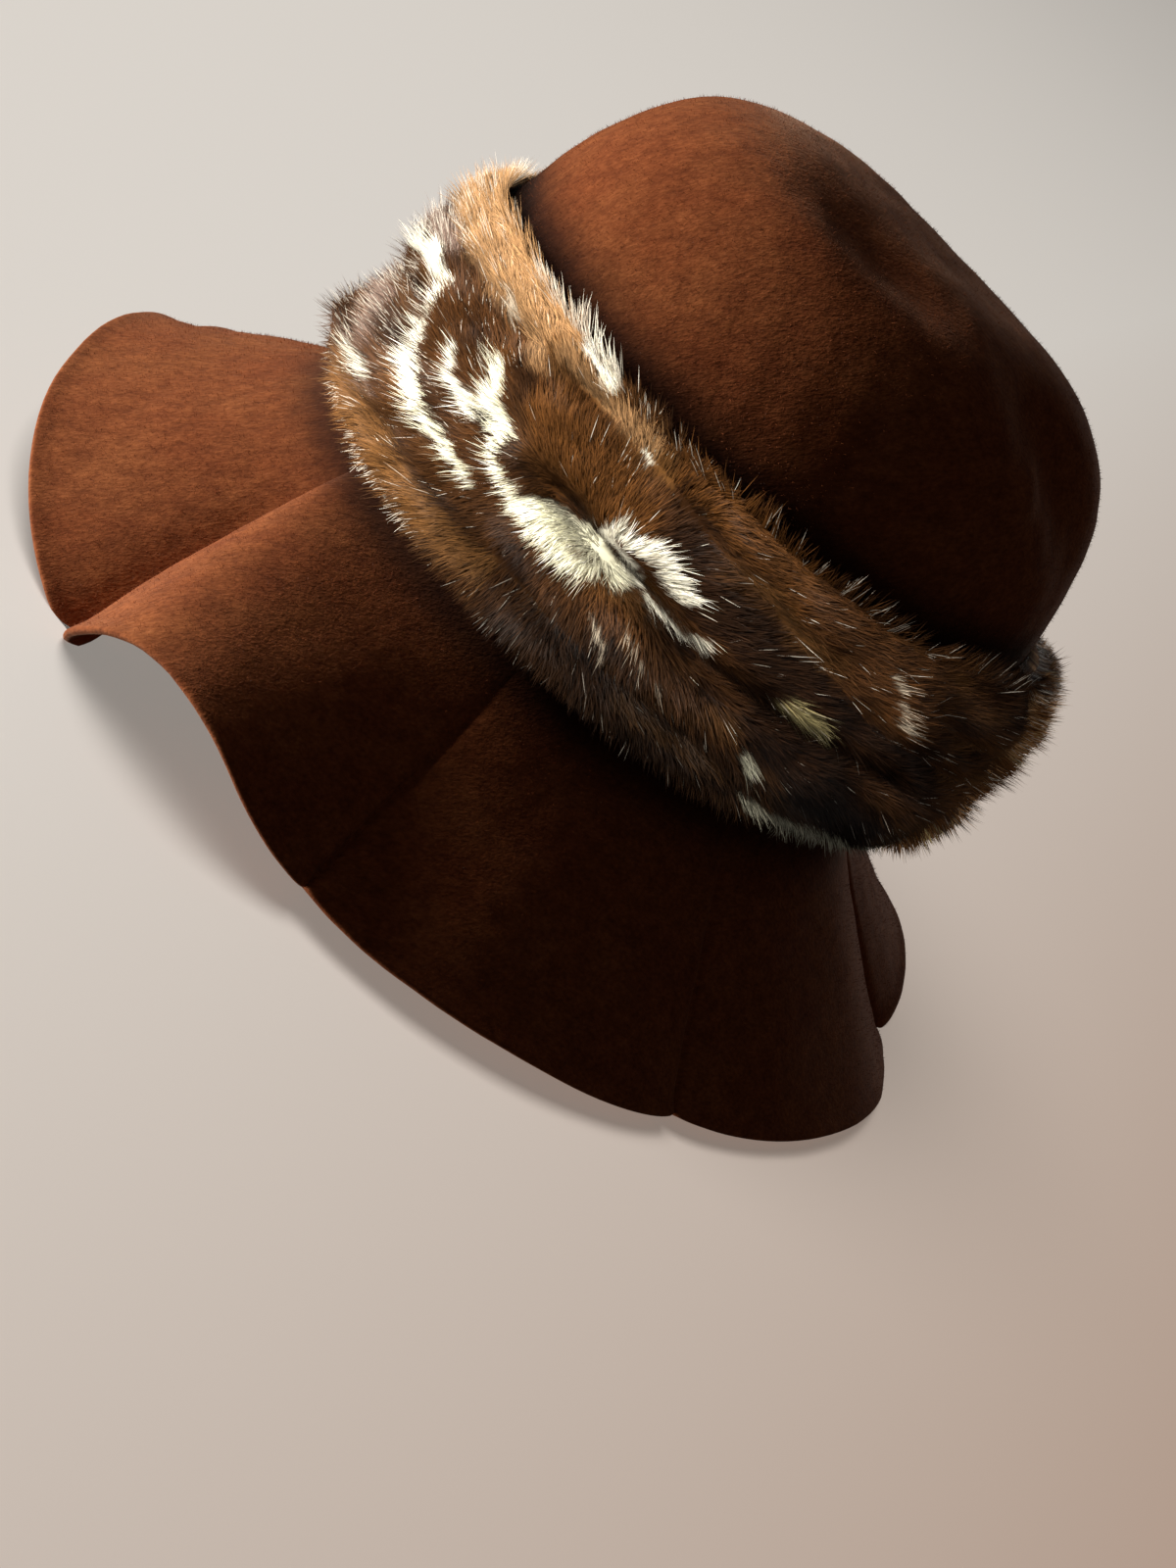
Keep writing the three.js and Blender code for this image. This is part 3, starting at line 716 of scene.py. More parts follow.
def edge_height(edge, turn):
    """Height of an edge over the break: its middle, plus its rise to the back, less its dip at the sides.
    The top edge also sags in front, by a bell curve."""
    sine = np.sin(np.radians(turn))
    sag = FRONT_SAG * front_bell(turn, SAG_WIDTH) if edge is BAND_TOP else 0
    return edge[0] + edge[1] * sine - edge[2] * (1 - sine ** 2) - sag


def off_crown(turn, height, extra):
    """The place that stands off the smooth crown by extra, at a height over the break."""
    return lean(oval_point(turn, crown_radius(height), extra, height))


def top_gap(turn, share):
    """The top edge stands away from the felt: a gap that grows as a smooth step over the last fifth.
    It closes toward the front, over the turns from -62 to -85, and toward the back, from 40 to 70."""
    t = np.clip((share - GAP_BEGINS) / 0.20, 0, 1)
    along = band_wrapped(turn)
    near_open = np.clip(np.minimum((along + 85) / 23, (70 - along) / 30), LEAST_OPEN, 1)
    return TOP_GAP * np.where(along < GROOVES_START, FAR_OPEN, near_open) * t * t * (3 - 2 * t)


def front_bulge(turn, share):
    """In front the lowest roll stands further out and the middle lies deeper, as two bell curves."""
    (out, out_at, out_half), (deep, deep_at, deep_half) = FRONT_ROLLS
    rolls = out * np.exp(-((share - out_at) / out_half) ** 2) + deep * np.exp(-((share - deep_at) / deep_half) ** 2)
    return front_bell(turn, BULGE_WIDTH) * rolls


def pelt_place(turn, share, extra=0.0):
    """A full rounded outline (1 - |2s-1|**3.2)**(1/2.4) times the band's depth with its soft lumps,
    less the grooves. Both ends of the band thin out to half, and some pelt is left everywhere."""
    foot, top = edge_height(BAND_FOOT, turn), edge_height(BAND_TOP, turn)
    height = foot + (top - foot) * share
    outline = np.maximum(1 - np.abs(2 * share - 1) ** OUTLINE_ACROSS, 0) ** (1 / OUTLINE_OUT)
    depth = BAND_DEPTH + DEPTH_TO_BACK * np.sin(np.radians(turn)) - STRAND_ROOM
    flat = off_crown(turn, height, 0 * share + 0 * turn)
    lumps = uneven(flat, PELT_WAVES) + front_bulge(turn, share)
    nearest_end = np.minimum(turn - END_LAST, END_FIRST + FULL_TURN - turn)
    outline = outline * (1 - 0.5 * np.exp(-(nearest_end / 2.5) ** 2))
    stand = outline * (depth + lumps) - np.minimum(outline * 1.5, 1) * grooves_at(turn, share)
    stand = np.maximum(stand, LEAST_PELT + top_gap(turn, share))
    return off_crown(turn, height, FUR_CLEARANCE + stand + extra)


pelt_side = np.array((-90, 0, 180, 90))
band_width = edge_height(BAND_TOP, pelt_side) - edge_height(BAND_FOOT, pelt_side)
print("width of the band in front, at both sides and at the back:", np.round(band_width, 1), "mm")

# %% [markdown]
# The fur is brown in stripes, with tan rolls at its edges and cream streaks of paler hair.
# An image could hold that pattern, but a formula needs no picture and stays sharp from near.
# Each streak is a line through a few places in turn and share of height, with a width, a tone and a ragged edge.
# Every strand takes its tone from the pattern at its own place, so the streaks break up as real hair does.

# %% Tones of the fur
DARK, BROWN, ORANGE, TAN, GOLD = ((0.024, 0.010, 0.004), (0.068, 0.027, 0.008), (0.092, 0.036, 0.009),
                                  (0.155, 0.070, 0.021), (0.375, 0.212, 0.095))
SILVER, GREY, OLIVE, CREAM, WHITE = ((0.20, 0.135, 0.105), (0.52, 0.44, 0.33), (0.56, 0.48, 0.23),
                                     (1.0, 0.98, 0.74), (0.95, 0.92, 0.76))
# Streaks and patches, the ones of the unseen side last: tone, half width in mm, (turn, share) places
STREAKS = (
    (TAN, 4.6, ((-150, 0.88), (-112, 0.87))),
    (GOLD, 8.6, ((-112, 0.86), (-93, 0.89), (-64, 0.90), (-42, 0.91), (-32, 0.90))),
    (TAN, 5.2, ((-30, 0.89), (-22, 0.87), (-14.4, 0.87), (-8, 0.90))),
    (GOLD, 3.0, ((-30, 0.915), (-20, 0.90), (-11, 0.905))),
    (WHITE, 0.7, ((-11.5, 0.895), (-10.2, 0.865))),
    (ORANGE, 5.2, ((-5, 0.97), (7, 0.95), (20, 0.92))),
    (ORANGE, 8.6, ((-24, 0.75), (-15, 0.74), (-7, 0.70))),
    (BROWN, 6.5, ((23, 0.91), (32, 0.90), (47, 0.86))),
    (ORANGE, 3.4, ((-38, 0.77), (-35, 0.69), (-34, 0.58))),
    (SILVER, 2.4, ((-102, 0.60), (-75, 0.70), (-60, 0.75))),
    (SILVER, 4.6, ((-80, 0.36), (-72, 0.34), (-64, 0.24), (-53, 0.18))),
    (BROWN, 2.2, ((-49, 0.73), (-45, 0.67), (-44, 0.58), (-46.5, 0.52))),
    (TAN, 4.4, ((-66, 0.08), (-50, 0.09), (-41, 0.09), (-29, 0.10), (-16, 0.12))),
    (BROWN, 3.6, ((-60, 0.24), (-40, 0.22), (-20, 0.23))),
    (BROWN, 4.3, ((-13, 0.13), (-3, 0.10), (8, 0.10))),
    (TAN, 2.8, ((10, 0.13), (18, 0.12), (27, 0.12))),
    (BROWN, 3.1, ((-8, 0.28), (-2.5, 0.32), (1.5, 0.37))),
    (DARK, 6.4, ((9, 0.66), (18, 0.65), (27, 0.60), (38, 0.56), (58, 0.48))),
    (DARK, 8.4, ((27, 0.40), (34, 0.36), (43, 0.26), (55, 0.22))),
    (DARK, 1.7, ((-13.6, 0.56), (-7, 0.53), (-0.7, 0.51), (5.7, 0.50))),
    (GREY, 0.5, ((-1.5, 0.34), (2.5, 0.27), (4.5, 0.22))),
    (GREY, 0.4, ((3.5, 0.38), (8.5, 0.31), (11.5, 0.29))),
    (WHITE, 2.1, ((-76, 0.60), (-63, 0.677), (-54.2, 0.685), (-53, 0.605))),
    (WHITE, 2.8, ((-53, 0.625), (-55, 0.465), (-51, 0.385), (-45.2, 0.34))),
    (CREAM, 1.9, ((-45.2, 0.34), (-39.6, 0.333), (-34, 0.343))),
    (CREAM, 1.2, ((-34, 0.343), (-28.6, 0.333), (-26, 0.32))),
    (WHITE, 1.4, ((-69, 0.13), (-55.8, 0.19))),
    (WHITE, 1.5, ((-42.9, 0.573), (-40.4, 0.505), (-33.2, 0.50))),
    (CREAM, 3.0, ((-35.4, 0.662), (-33.1, 0.583), (-27.8, 0.527))),
    (CREAM, 1.7, ((-27.8, 0.527), (-28, 0.48), (-24.1, 0.432), (-17.9, 0.413))),
    (CREAM, 3.1, ((-17.9, 0.413), (-13.4, 0.463), (-8.4, 0.492), (-4.5, 0.473), (-2.1, 0.47))),
    (CREAM, 2.0, ((-14.2, 0.408), (-8.9, 0.41), (-4.8, 0.422))),
    (GREY, 1.7, ((-44.9, 0.835), (-39.9, 0.823))),
    (WHITE, 1.9, ((-28.1, 0.98), (-24.8, 0.97), (-21.5, 0.963))),
    (WHITE, 1.9, ((-6.6, 0.63), (-3.8, 0.64), (-1.5, 0.677), (1.1, 0.672), (4.4, 0.63), (6.6, 0.64))),
    (WHITE, 1.4, ((-7.2, 0.585), (-4, 0.575), (0.4, 0.51), (5.2, 0.492), (10.1, 0.497), (12.6, 0.537))),
    (OLIVE, 2.2, ((26.8, 0.545), (30.4, 0.53), (34.6, 0.505))),
    (CREAM, 1.7, ((28.2, 0.263), (30.6, 0.213))),
    (CREAM, 1.8, ((33.4, 0.093), (42.4, 0.062), (56.5, 0.033))),
    (CREAM, 1.6, ((56.5, 0.033), (66, 0.05), (74, 0.08))),
    (GREY, 0.6, ((35.4, 0.895), (39.2, 0.825), (43.8, 0.735))),
    (CREAM, 2.4, ((120, 0.55), (135, 0.62), (150, 0.56), (163, 0.44))),
    (WHITE, 2.4, ((172, 0.30), (188, 0.36), (204, 0.33))),
    (CREAM, 2.8, ((196, 0.60), (212, 0.54), (226, 0.60))),
    (WHITE, 1.8, ((236, 0.28), (246, 0.40), (257, 0.48))),
    (TAN, 3.4, ((140, 0.86), (175, 0.91), (212, 0.88))),
    (GOLD, 1.8, ((152, 0.90), (175, 0.93), (200, 0.91))),
    (TAN, 4.2, ((118, 0.10), (150, 0.12), (190, 0.10))),
)


print(len(STREAKS), "streaks and patches, the widest", 2 * max(half for _, half, _ in STREAKS), "mm across")

# %% Pattern of the fur
# Length along the band for a degree of turn, and up it for its whole height, in mm
MM_PER_TURN, MM_PER_SHARE = 1.78, 67.0


def lattice(x, y, seed, cells=256):
    """Random numbers on whole coordinates, blended between them with s*s*(3-2s); from 0 to 1."""
    table = np.random.default_rng(seed).random((cells, cells))
    i, j = np.floor(x).astype(int), np.floor(y).astype(int)
    s, t = x - i, y - j
    s, t = s * s * (3 - 2 * s), t * t * (3 - 2 * t)
    pick = lambda a, b: table[a % cells, b % cells]
    return ((pick(i, j) * (1 - s) + pick(i + 1, j) * s) * (1 - t)
            + (pick(i, j + 1) * (1 - s) + pick(i + 1, j + 1) * s) * t)


def blend(one, two, share):
    """From colour one at share 0 to colour two at share 1."""
    return one + (two - one) * share[..., None]


def painted_hair_shade(turn, share):
    """Painted shade in the hair's tone: 1 - 0.8 times a ramp down the lower rolls and one behind turn -40, and up to
    0.4 less toward the very front, before turn -45, where the lamp is strongest, and 0.2 less behind turn 10."""
    t = band_wrapped(turn)
    low = 1 - 0.8 * np.clip((0.40 - share) / 0.2, 0, 1) * np.clip((t + 40) / 35, 0, 1)
    front = 1 - 0.4 * np.clip((-45 - t) / 35, 0, 1) * np.clip((t + 180) / 30, 0, 1)
    return low * front * (1 - 0.2 * np.clip(t / 10, 0, 1))


def fur_tone(turn, share):
    """Natural brown stripes from stretched noise, then each streak laid over them with ragged soft edges."""
    t = band_wrapped(turn)
    x, y = t * MM_PER_TURN, share * MM_PER_SHARE
    tone = blend(np.array(DARK), np.array(BROWN), np.clip(lattice(x / 14 + y / 30, y / 5, 41) * 1.8 - 0.25, 0, 1))
    tone = blend(tone, np.array(TAN), np.clip(lattice(x / 22 + 9, y / 6 - x / 60, 42) * 2.2 - 1.2, 0, 1) * 0.75)
    ragged = 1.7 * (lattice(x / 1.6, y / 1.6, 43) - 0.5) + 1.5 * (lattice(x / 4, y / 4, 44) - 0.5)
    for colour, half, places in STREAKS:
        p = np.array(places, float)
        a = p[:-1] * (MM_PER_TURN, MM_PER_SHARE)
        ab = (p[1:] - p[:-1]) * (MM_PER_TURN, MM_PER_SHARE)
        around = np.where(t < p[0, 0] - FULL_TURN / 2, x + FULL_TURN * MM_PER_TURN, x)
        away = np.stack([around, y], -1)[..., None, :] - a
        along = np.clip((away * ab).sum(-1) / (ab * ab).sum(-1), 0, 1)
        far = np.linalg.norm(away - along[..., None] * ab, axis=-1).min(-1)
        tone = blend(tone, np.array(colour), np.clip((0.9 * half + ragged - far) / (0.3 * half + 0.5) + 0.5, 0, 1))
    # Painted shade: the tone is darkened on the lower rolls, toward the very front and behind turn 10
    return tone * painted_hair_shade(turn, share)[..., None]


probe = fur_tone(np.zeros(5), np.linspace(0.1, 0.9, 5))
print("red of the pattern from the foot to the top at turn 0:", np.round(probe[:, 0], 3))

# %% The pelt itself
PELT_COLUMNS, PELT_ROWS, PELT_INSIDE_ROWS = 420, 60, 8
# Painted shade on the pelt: its inner side and its outside under the strands are darker than the pattern
INSIDE_SHADE, UNDER_SHADE = 0.12, 0.6
INSIDE_SHARES = np.linspace(0, 1, PELT_INSIDE_ROWS)[None, :]


def closed_strip(name, outer, inner, tone):
    """A solid strip: one closed line per column, down the inside and up the outside, and a cap at each end."""
    grid = np.concatenate([inner[:, ::-1], outer], 1)
    columns, rows = grid.shape[:2]
    caps = np.stack([np.arange(rows)[::-1], (columns - 1) * rows + np.arange(rows)])
    made = add_mesh(name, to_metres(grid), [grid_faces(columns, rows, False, loop=True), caps], pelt_finish)
    # Painted shade: the inside takes the tone of the foot at 0.12, the outside takes the pattern at 0.6
    under = np.concatenate([np.repeat(tone[:, :1], inner.shape[1], 1) * INSIDE_SHADE, tone * UNDER_SHADE], 1)
    paint_tone(made, under.reshape(-1, 3))
    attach(made, "root")
    return made


def inside_height(turn, drop=0.0, rise=0.0):
    """Heights up the inner side in even steps, from the foot less drop to the top plus rise."""
    return ((edge_height(BAND_FOOT, turn) - drop) * (1 - INSIDE_SHARES)
            + (edge_height(BAND_TOP, turn) + rise) * INSIDE_SHARES)


fur_finish = strand_finish("fur_strand", 0.50, 0.06, 0.0)
pelt_finish = strand_finish("fur_pelt", 0.95, 0.02, 0.0)
even_shares = np.linspace(0, 1, PELT_ROWS)[None, :]
pelt_shares = (1 - np.cos(np.pi * even_shares)) / 2 * 0.5 + even_shares * 0.5
pelt_turns = np.linspace(END_LAST, END_FIRST + FULL_TURN, PELT_COLUMNS)[:, None]
pelt_outer = pelt_place(pelt_turns, pelt_shares)
pelt_off = FUR_CLEARANCE + top_gap(pelt_turns, INSIDE_SHARES)
pelt_inner = off_crown(pelt_turns, inside_height(pelt_turns), pelt_off)
pelt = closed_strip("band_pelt", pelt_outer, pelt_inner, fur_tone(*np.broadcast_arrays(pelt_turns, pelt_shares)))
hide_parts("fur_band")

# %% [markdown]
# Deep fur keeps the light off the felt right beside it, in a soft dark line about as wide as a finger.
# Ribbons let more light through than real hair does, because far fewer of them can be built.
# So each point of the felt stores how near it is to the pelt, and a ramp in the felt's colour reads that as painted
# shade.

# %% Shade of the fur on the felt beside it
EDGE_HAIR = 6.0


def shade_beside(piece, edge, reach, most):
    """Stores painted shade, most * exp(-(d / reach)**2), for each point, with d its distance from an edge past the hair
    there.
    """
    points = np.empty(len(piece.data.vertices) * 3, np.float32)
    piece.data.vertices.foreach_get("co", points)
    points, edge = points.reshape(-1, 3).astype(float), to_metres(edge)
    squared = (points ** 2).sum(1)[:, None] + (edge ** 2).sum(1)[None, :] - 2 * points @ edge.T
    past_hair = np.maximum(np.sqrt(np.maximum(squared.min(1), 0)) / MM - EDGE_HAIR, 0)
    shade = most * np.exp(-(past_hair / reach) ** 2)
    piece.data.attributes.new("painted_fur_shade", "FLOAT", "POINT").data.foreach_set("value", shade.astype(np.float32))
    print(piece.name, "has", int((shade > 0.1).sum()), "points in the fur's shade")


shade_beside(crown, pelt_outer[::2, -1], 8.5, 1.0)
shade_beside(brim, pelt_outer[::2, 0], 10.0, 0.85)

# %% [markdown]
# At the back one upright piece of fur covers the place where the two ends of the band meet.
# It could be part of the band's own mesh, but a cushion of its own keeps a clear outline.
# Its height off the crown is a root of two falling powers, full in the middle and thin at all four edges.

# %% The upright end of the band
END_RISE, END_DROP, END_DEPTH, END_EDGE, END_GAP = 2.0, 1.0, 17.0, 0.25, 0.2
END_COLUMNS, END_WAVES = 44, ((0.9, 16, 35),)


def end_place(turn, share, extra=0.0):
    """A cushion off the crown: the root of (1 - a**4)(1 - u**4) across and up, over a thin edge."""
    foot, top = edge_height(BAND_FOOT, turn) - END_DROP, edge_height(BAND_TOP, turn) + END_RISE
    height = foot + (top - foot) * share
    across = np.clip((turn - END_FIRST) / (END_LAST - END_FIRST) * 2 - 1, -1, 1)
    round_share = np.sqrt((1 - across ** 4) * np.maximum(1 - (2 * share - 1) ** 4, 0))
    flat = off_crown(turn, height, 0 * share + 0 * turn)
    stand = (END_DEPTH - STRAND_ROOM + uneven(flat, END_WAVES)) * (END_EDGE + (1 - END_EDGE) * round_share)
    return off_crown(turn, height, FUR_CLEARANCE + stand + extra)


def end_tone(turn, share):
    """Brown with tan and olive stripes that run up the end piece."""
    x, y = turn * MM_PER_TURN, share * MM_PER_SHARE
    tone = blend(np.array(DARK), np.array(ORANGE), np.clip(lattice(x / 4, y / 14, 51) * 1.8 - 0.3, 0, 1))
    tone = blend(tone, np.array(GOLD), np.clip(lattice(x / 3 + 7, y / 12, 52) * 3.6 - 2.0, 0, 1))
    return 1.3 * blend(tone, np.array(OLIVE), np.clip(lattice(x / 2.4, y / 9 + 3, 53) * 5 - 4.0, 0, 1))


end_turns = np.linspace(END_FIRST + END_GAP, END_LAST - END_GAP, END_COLUMNS)[:, None]
end_outer = end_place(end_turns, pelt_shares)
end_inner = off_crown(end_turns, inside_height(end_turns, END_DROP, END_RISE), FUR_CLEARANCE)
end_pelt = closed_strip("end_pelt", end_outer, end_inner, end_tone(*np.broadcast_arrays(end_turns, pelt_shares)))
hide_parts("fur_end")

# %% [markdown]
# Fur has two kinds of hair: short dense underhair, and longer glossy guard hair, often with a pale tip.
# Both are combed. On this band they run to the front and to the back from the wearer's left,
# up over the top edge and down over the foot, and they gather in tufts whose tips meet.
# Each strand leaves the pelt steeply and bends toward its comb direction, with a tuft's pull and a bit of chance.

# %% Comb and tufts of the fur
# The line over which hair is combed up and under which it is combed down, as (turn, share) places
COMB_LINE = np.array((
    (-110, 0.50), (-45, 0.50), (-30, 0.60), (-14, 0.55), (6, 0.50), (22, 0.40), (38, 0.35), (70, 0.35)))
PARTING_TURN, PARTING_WIDTH = -8, 22
TURN_STEP, SHARE_STEP, SHARE_ENDS = 0.4, 0.01, (0.005, 0.995)
TUFT_WIDTH, TUFT_HEIGHT, MOST_PULL, SHAKES = 3.2, 3.0, 3, 512


def away_from(parting, turn):
    """A smooth step along the turn: -1 well before the parting, toward the front, and 1 well behind it."""
    return np.tanh((band_wrapped(turn) - parting) / PARTING_WIDTH)


def comb_direction(turn, share):
    """Along the turn, hair runs away from the parting. It goes up over the comb line and down under it, most
    of all at the parting, always down at the foot, and less and less up toward the top edge."""
    along = away_from(PARTING_TURN, turn)
    line = np.interp(band_wrapped(turn), *COMB_LINE.T)
    up = 0.75 * np.tanh((share - line) / 0.05) * (1 - 0.6 * along ** 2)
    up = up - np.clip((0.10 - share) / 0.1, 0, 1)
    return along, up * np.clip((0.99 - share) / 0.12, 0, 1)


def local_axes(place, turn, share):
    """Around, up and outward at each root, from small steps of the pelt's own formula."""
    around = unit(place(turn + TURN_STEP, share) - place(turn - TURN_STEP, share))
    above, below = (np.clip(share + step, *SHARE_ENDS) for step in (SHARE_STEP, -SHARE_STEP))
    up = unit(place(turn, above) - place(turn, below))
    out = unit(np.cross(around, up))
    return around, np.cross(out, around), out


def tuft_pull(x, y, seed):
    """The way, in mm, to the middle of each root's tuft: a cell of about 3 mm with shaken corners and middle."""
    cell_x, cell_y = np.floor(x / TUFT_WIDTH + 0.5 * np.sin(y * 1.9)), np.floor(y / TUFT_HEIGHT + 0.5 * np.sin(x * 1.7))
    shake = np.random.default_rng(seed).random((SHAKES, 2))[(cell_x * 73 + cell_y * 151).astype(int) % SHAKES]
    return (np.clip((cell_x + 0.2 + 0.6 * shake[:, 0]) * TUFT_WIDTH - x, -MOST_PULL, MOST_PULL),
            np.clip((cell_y + 0.2 + 0.6 * shake[:, 1]) * TUFT_HEIGHT - y, -MOST_PULL, MOST_PULL))


def scatter(rng, count, first, last, low=0.015, high=0.985):
    """Random roots, even over the turns and the height."""
    return rng.uniform(first, last, count), rng.uniform(low, high, count)


print("hair parts at turn", PARTING_TURN, "and runs up over", COMB_LINE[:, 1].min(), "to", COMB_LINE[:, 1].max())

# %% Growing strands
ROOT_DEPTH, SWAY, COMB_CHANCE = 0.6, 0.7, 0.14
LOCK_WIDTH, LOCK_LENGTH, LOCK_DARKEST, LOCK_SPAN = 0.9, 8, 0.42, 1.16
STRAY_SHARE, STRAY_TONE, PALE_HAIR = 0.14, 0.35, (0.92, 0.85, 0.72)
FRONT_STAND, STAND_WIDTH = 12, 22
RIBBON_PROFILE = np.array((0.8, 1.0, 0.8))


def strand_tones(rng, tone, turn, share, pale, seed, places):
    """Tones along each strand: a darker root, which is partly the hair's own colour and partly painted shade among the
    strands, its own tone in the middle and a lighter tip. Some strands are stray dark ones, and some, in clusters, are
    half pale with a fully pale tip."""
    count, x, y = len(turn), turn * MM_PER_TURN, share * MM_PER_SHARE
    tone = tone * np.where(rng.random(count) < STRAY_SHARE, STRAY_TONE, 1.0)[:, None]
    tips = np.clip(tone * 1.25 + 0.004, 0, 1)
    is_pale = (rng.random(count) < pale * np.clip(4.5 * lattice(x / 4, y / 4, seed + 6) - 1.4, 0, 2))[:, None]
    # The pale tips take the same painted shade as the pattern
    pale_tone = np.array(PALE_HAIR) * (rng.uniform(0.6, 1.05, count) * painted_hair_shade(turn, share))[:, None]
    tips = np.where(is_pale, pale_tone, tips)
    tone = np.where(is_pale, tone * 0.5 + pale_tone * 0.5, tone)
    # Darker roots: partly the hair's own colour, partly painted shade among the strands
    root_tone = tone * np.where(tone.mean(1, keepdims=True) > 0.5, 0.9, 0.65)
    steps = np.linspace(0, 1, places)[None, :, None]
    tones = root_tone[:, None] + (tone - root_tone)[:, None] * np.minimum(2 * steps, 1)
    return np.clip(tones + (tips - tone)[:, None] * np.maximum(2 * steps - 1, 0), 0, 1)


def grow(name, place, tone_of, slot, turn, share, seed, length, lift, width, places, tuft, pale, tint_at,
         comb=comb_direction):
    """Strands of the given length in mm. Lift is the angle off the pelt at the tip in degrees, tuft the pull
    toward the tuft's middle, pale the share of strands with a pale tip, and tint_at the part of the strand
    that takes its tone from the pattern right under it: 0 for the root, 1 for the tip.
    A strand is root + size * (start * (t - t**2 / 2) + tip * 0.6 * t**2), so it bends from its start to its tip."""
    rng = np.random.default_rng(seed)
    count, on_band = len(turn), place is pelt_place
    around, up, out = local_axes(place, turn, share)
    root = place(turn, share, -ROOT_DEPTH)
    x, y = turn * MM_PER_TURN, share * MM_PER_SHARE
    along_comb, up_comb = comb(turn, share)
    flat = unit(np.stack([along_comb + SWAY * (lattice(x / 11, y / 11, seed + 1) - 0.5),
                          up_comb + SWAY * (lattice(x / 11 + 40, y / 11, seed + 2) - 0.5)], -1))
    lock = lattice((x * flat[:, 1] - y * flat[:, 0]) / LOCK_WIDTH,
                   (x * flat[:, 0] + y * flat[:, 1]) / LOCK_LENGTH, seed + 7)
    flat = unit(flat + COMB_CHANCE * rng.normal(size=(count, 2)))
    combed = around * flat[:, :1] + up * flat[:, 1:]
    stand_up = FRONT_STAND * front_bell(turn, STAND_WIDTH) if on_band else 0
    rough = 14 * (lattice(x / 6, y / 6, seed + 3) - 0.5)
    angle = np.radians(np.clip(lift + stand_up + 8 * rng.normal(size=count) + rough, 4, 80))
    tip_way = combed * np.cos(angle)[:, None] + out * np.sin(angle)[:, None]
    size = length * rng.uniform(0.7, 1.25, count) * (0.8 + 0.4 * lattice(x / 7, y / 7, seed + 4))
    pull_x, pull_y = tuft_pull(x, y, seed + 5)
    pull = around * pull_x[:, None] + up * pull_y[:, None]
    t = np.linspace(0, 1, places)[None, :, None]
    start = unit(0.5 * out + combed)
    bent = start[:, None] * (t - 0.5 * t ** 2) + tip_way[:, None] * 0.6 * t ** 2
    spine = root[:, None] + size[:, None, None] * bent + tuft * pull[:, None] * t ** 1.5
    reach = tint_at * size * np.cos(angle)
    tone = tone_of(turn + reach * flat[:, 0] / MM_PER_TURN, np.clip(share + reach * flat[:, 1] / MM_PER_SHARE, 0, 1))
    # Painted shade: strands darken in the grooves of the gathers, by up to 0.6 at a depth of 5 mm
    shade = 1 - 0.6 * np.clip(grooves_at(turn, share) / 5, 0, 1) if on_band else 1
    tone = tone * (shade * (LOCK_DARKEST + LOCK_SPAN * lock) * rng.uniform(0.85, 1.15, count))[:, None]
    tones = strand_tones(rng, tone, turn, share, pale, seed, places)
    thick = width * rng.uniform(0.7, 1.3, count)
    made = ribbon_piece(name, spine, thick, out, tones, fur_finish, RIBBON_PROFILE[:places - 1])
    return made


# %% Hair of the band
# Parts of the band: name, first turn, last turn. The unseen side comes last and gets fewer, wider strands.
BAND_PARTS = (("front", 258, 328), ("left", 328, 393), ("rear", 393, 438),
              ("far_rear", 108, 183), ("far_front", 183, 258))
# Underhair and guard hair for each degree, on the near side and on the unseen side
UNDERHAIR, GUARD_HAIR = (640, 210), (95, 45)
ON_BAND, ON_END = (pelt_place, fur_tone, "band_fur"), (end_place, end_tone, "end_fur")


def pale_guard(turn, share):
    """Share of pale guard hair: a little everywhere, and more toward the front over the foot."""
    return 0.018 + 0.26 * np.clip((-45 - band_wrapped(turn)) / 25, 0, 1) * np.clip((share - 0.12) / 0.1, 0, 1)


for index, (part, first_turn, last_turn) in enumerate(BAND_PARTS):
    far, in_front, span = part.startswith("far"), part == "front", last_turn - first_turn
    rng = np.random.default_rng(100 + index)
    turn, share = scatter(rng, span * UNDERHAIR[far], first_turn, last_turn)
    grow("underhair_" + part, *ON_BAND, turn, share, 200 + 10 * index, length=5.2, lift=18,
         width=0.42 if far else 0.25, places=3, tuft=0.14, pale=0.02 if in_front else 0.003, tint_at=0.6)
    turn, share = scatter(rng, span * GUARD_HAIR[far], first_turn, last_turn, 0.015, 0.95)
    grow("guard_hair_" + part, *ON_BAND, turn, share, 300 + 10 * index,
         length=9.0 if in_front else 8.0, lift=36 if in_front else 24, width=0.16, places=4,
         tuft=0.35 if in_front else 0.22, pale=pale_guard(turn, share), tint_at=0.3)

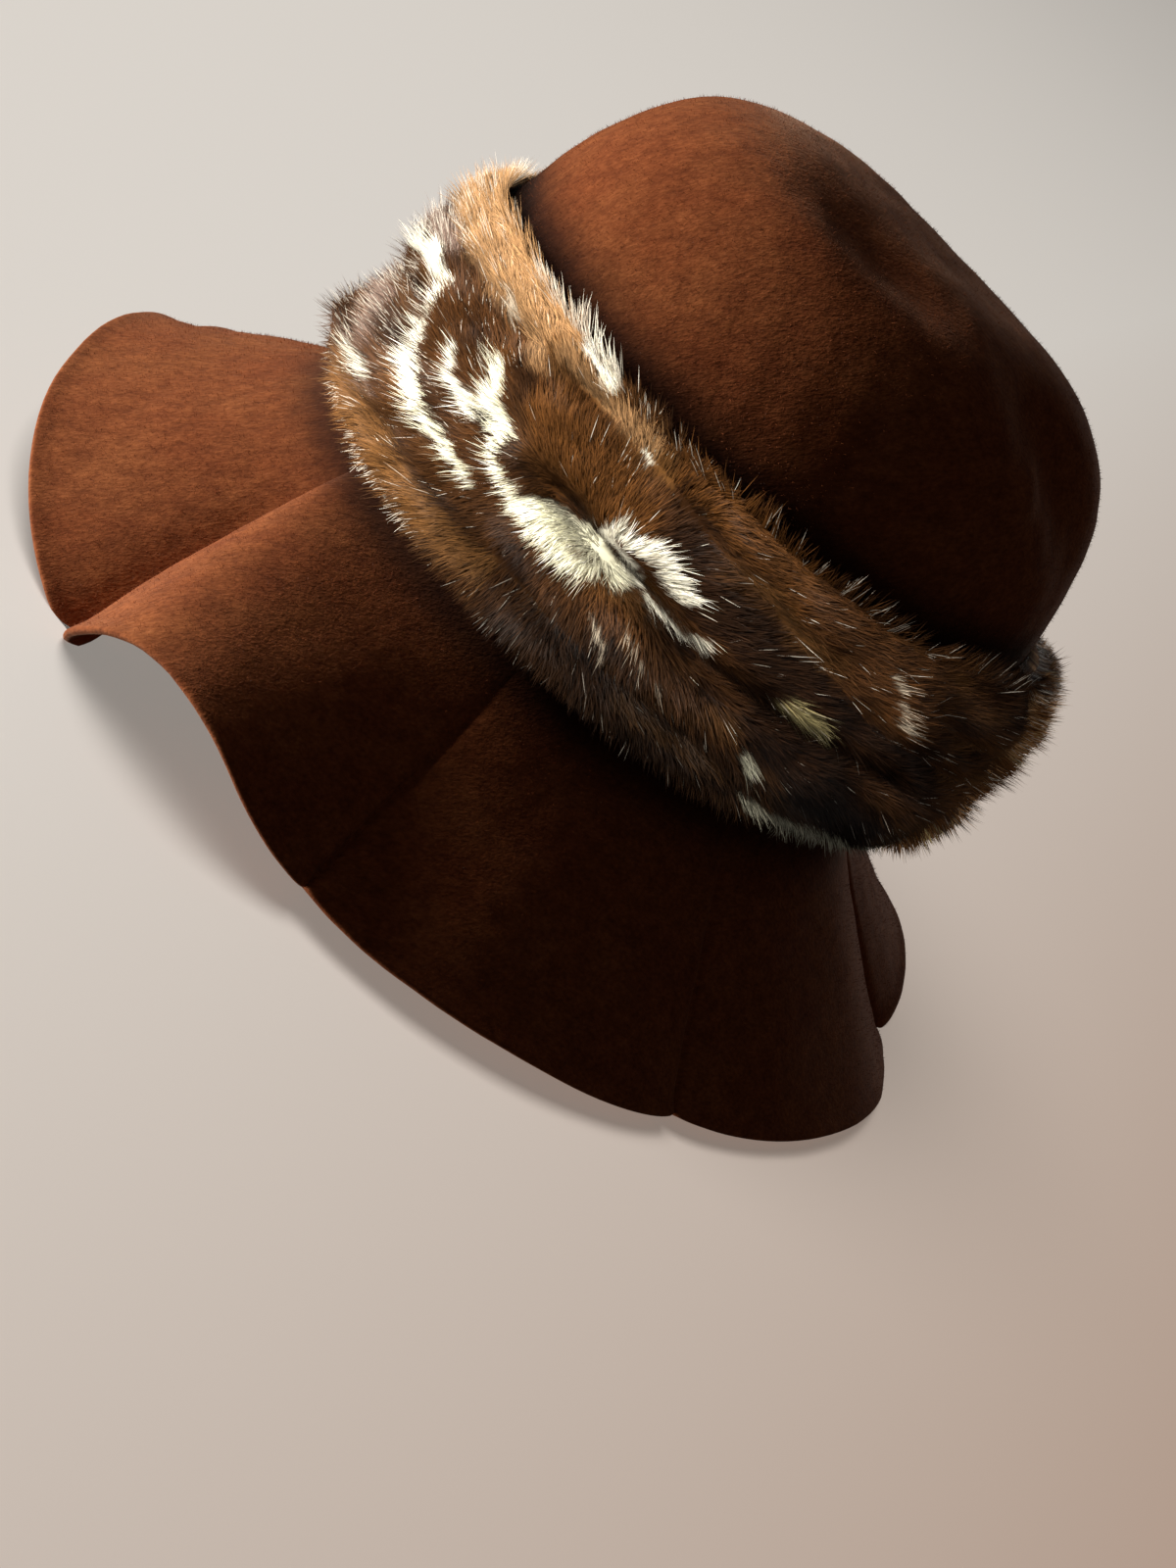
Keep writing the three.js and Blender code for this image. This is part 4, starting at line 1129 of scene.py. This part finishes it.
# %% Hair of the upright end
rng = np.random.default_rng(150)
turn, share = scatter(rng, 8000, END_FIRST + 0.3, END_LAST - 0.3)
grow("end_underhair", *ON_END, turn, share, 400,
     length=6.5, lift=38, width=0.36, places=3, tuft=0.3, pale=0.05, tint_at=0.3)
turn, share = scatter(rng, 2200, END_FIRST + 0.3, END_LAST - 0.3)
grow("end_guard_hair", *ON_END, turn, share, 410,
     length=9.5, lift=46, width=0.20, places=4, tuft=0.3, pale=0.12, tint_at=0.0)

# %% Standing hair along the top edge and hanging hair at the foot
turn, share = scatter(rng, 1700, 256, 437, 0.955, 0.99)
grow("top_edge_hair", *ON_BAND, turn, share, 420, length=8.8, lift=36, width=0.20,
     places=4, tuft=0.6, tint_at=0.0,
     pale=0.06 + 0.85 * np.exp(-((turn - 329) / 14) ** 2) + 0.6 * np.exp(-((turn - 268) / 8) ** 2),
     comb=lambda turn, share: (0.7 * away_from(20, turn), 0 * turn + 1.0))
turn, share = scatter(rng, 1100, 260, 437, 0.01, 0.05)
grow("foot_edge_hair", *ON_BAND, turn, share, 430, length=7.5, lift=30, width=0.17,
     places=4, tuft=0.5, pale=np.where((turn < 305) | (turn > 412), 0.7, np.where(turn < 337, 0.4, 0.08)), tint_at=0.0,
     comb=lambda turn, share: (0.9 * away_from(PARTING_TURN, turn), 0 * turn - 1.0))
# Short hair on the flat top of the upright end, combed away from the crown
rng = np.random.default_rng(160)
turn, share = scatter(rng, 2600, END_FIRST + 0.3, END_LAST - 0.3, 0.965, 0.999)
grow("end_top_hair", *ON_END, turn, share, 440, length=6.0, lift=48, width=0.34,
     places=3, tuft=0.3, pale=0.04, tint_at=0.3, comb=lambda turn, share: (0 * turn + 0.3, 0 * turn - 1.0))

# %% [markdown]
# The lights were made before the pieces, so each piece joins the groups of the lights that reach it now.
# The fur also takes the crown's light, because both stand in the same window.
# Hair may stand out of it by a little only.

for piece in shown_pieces():
    LIT["hat"].objects.link(piece)
    if piece.name.startswith("brim"):
        LIT["brim"].objects.link(piece)
        continue
    LIT["crown"].objects.link(piece)
    if not piece.name.startswith("crown"):
        LIT["fur"].objects.link(piece)
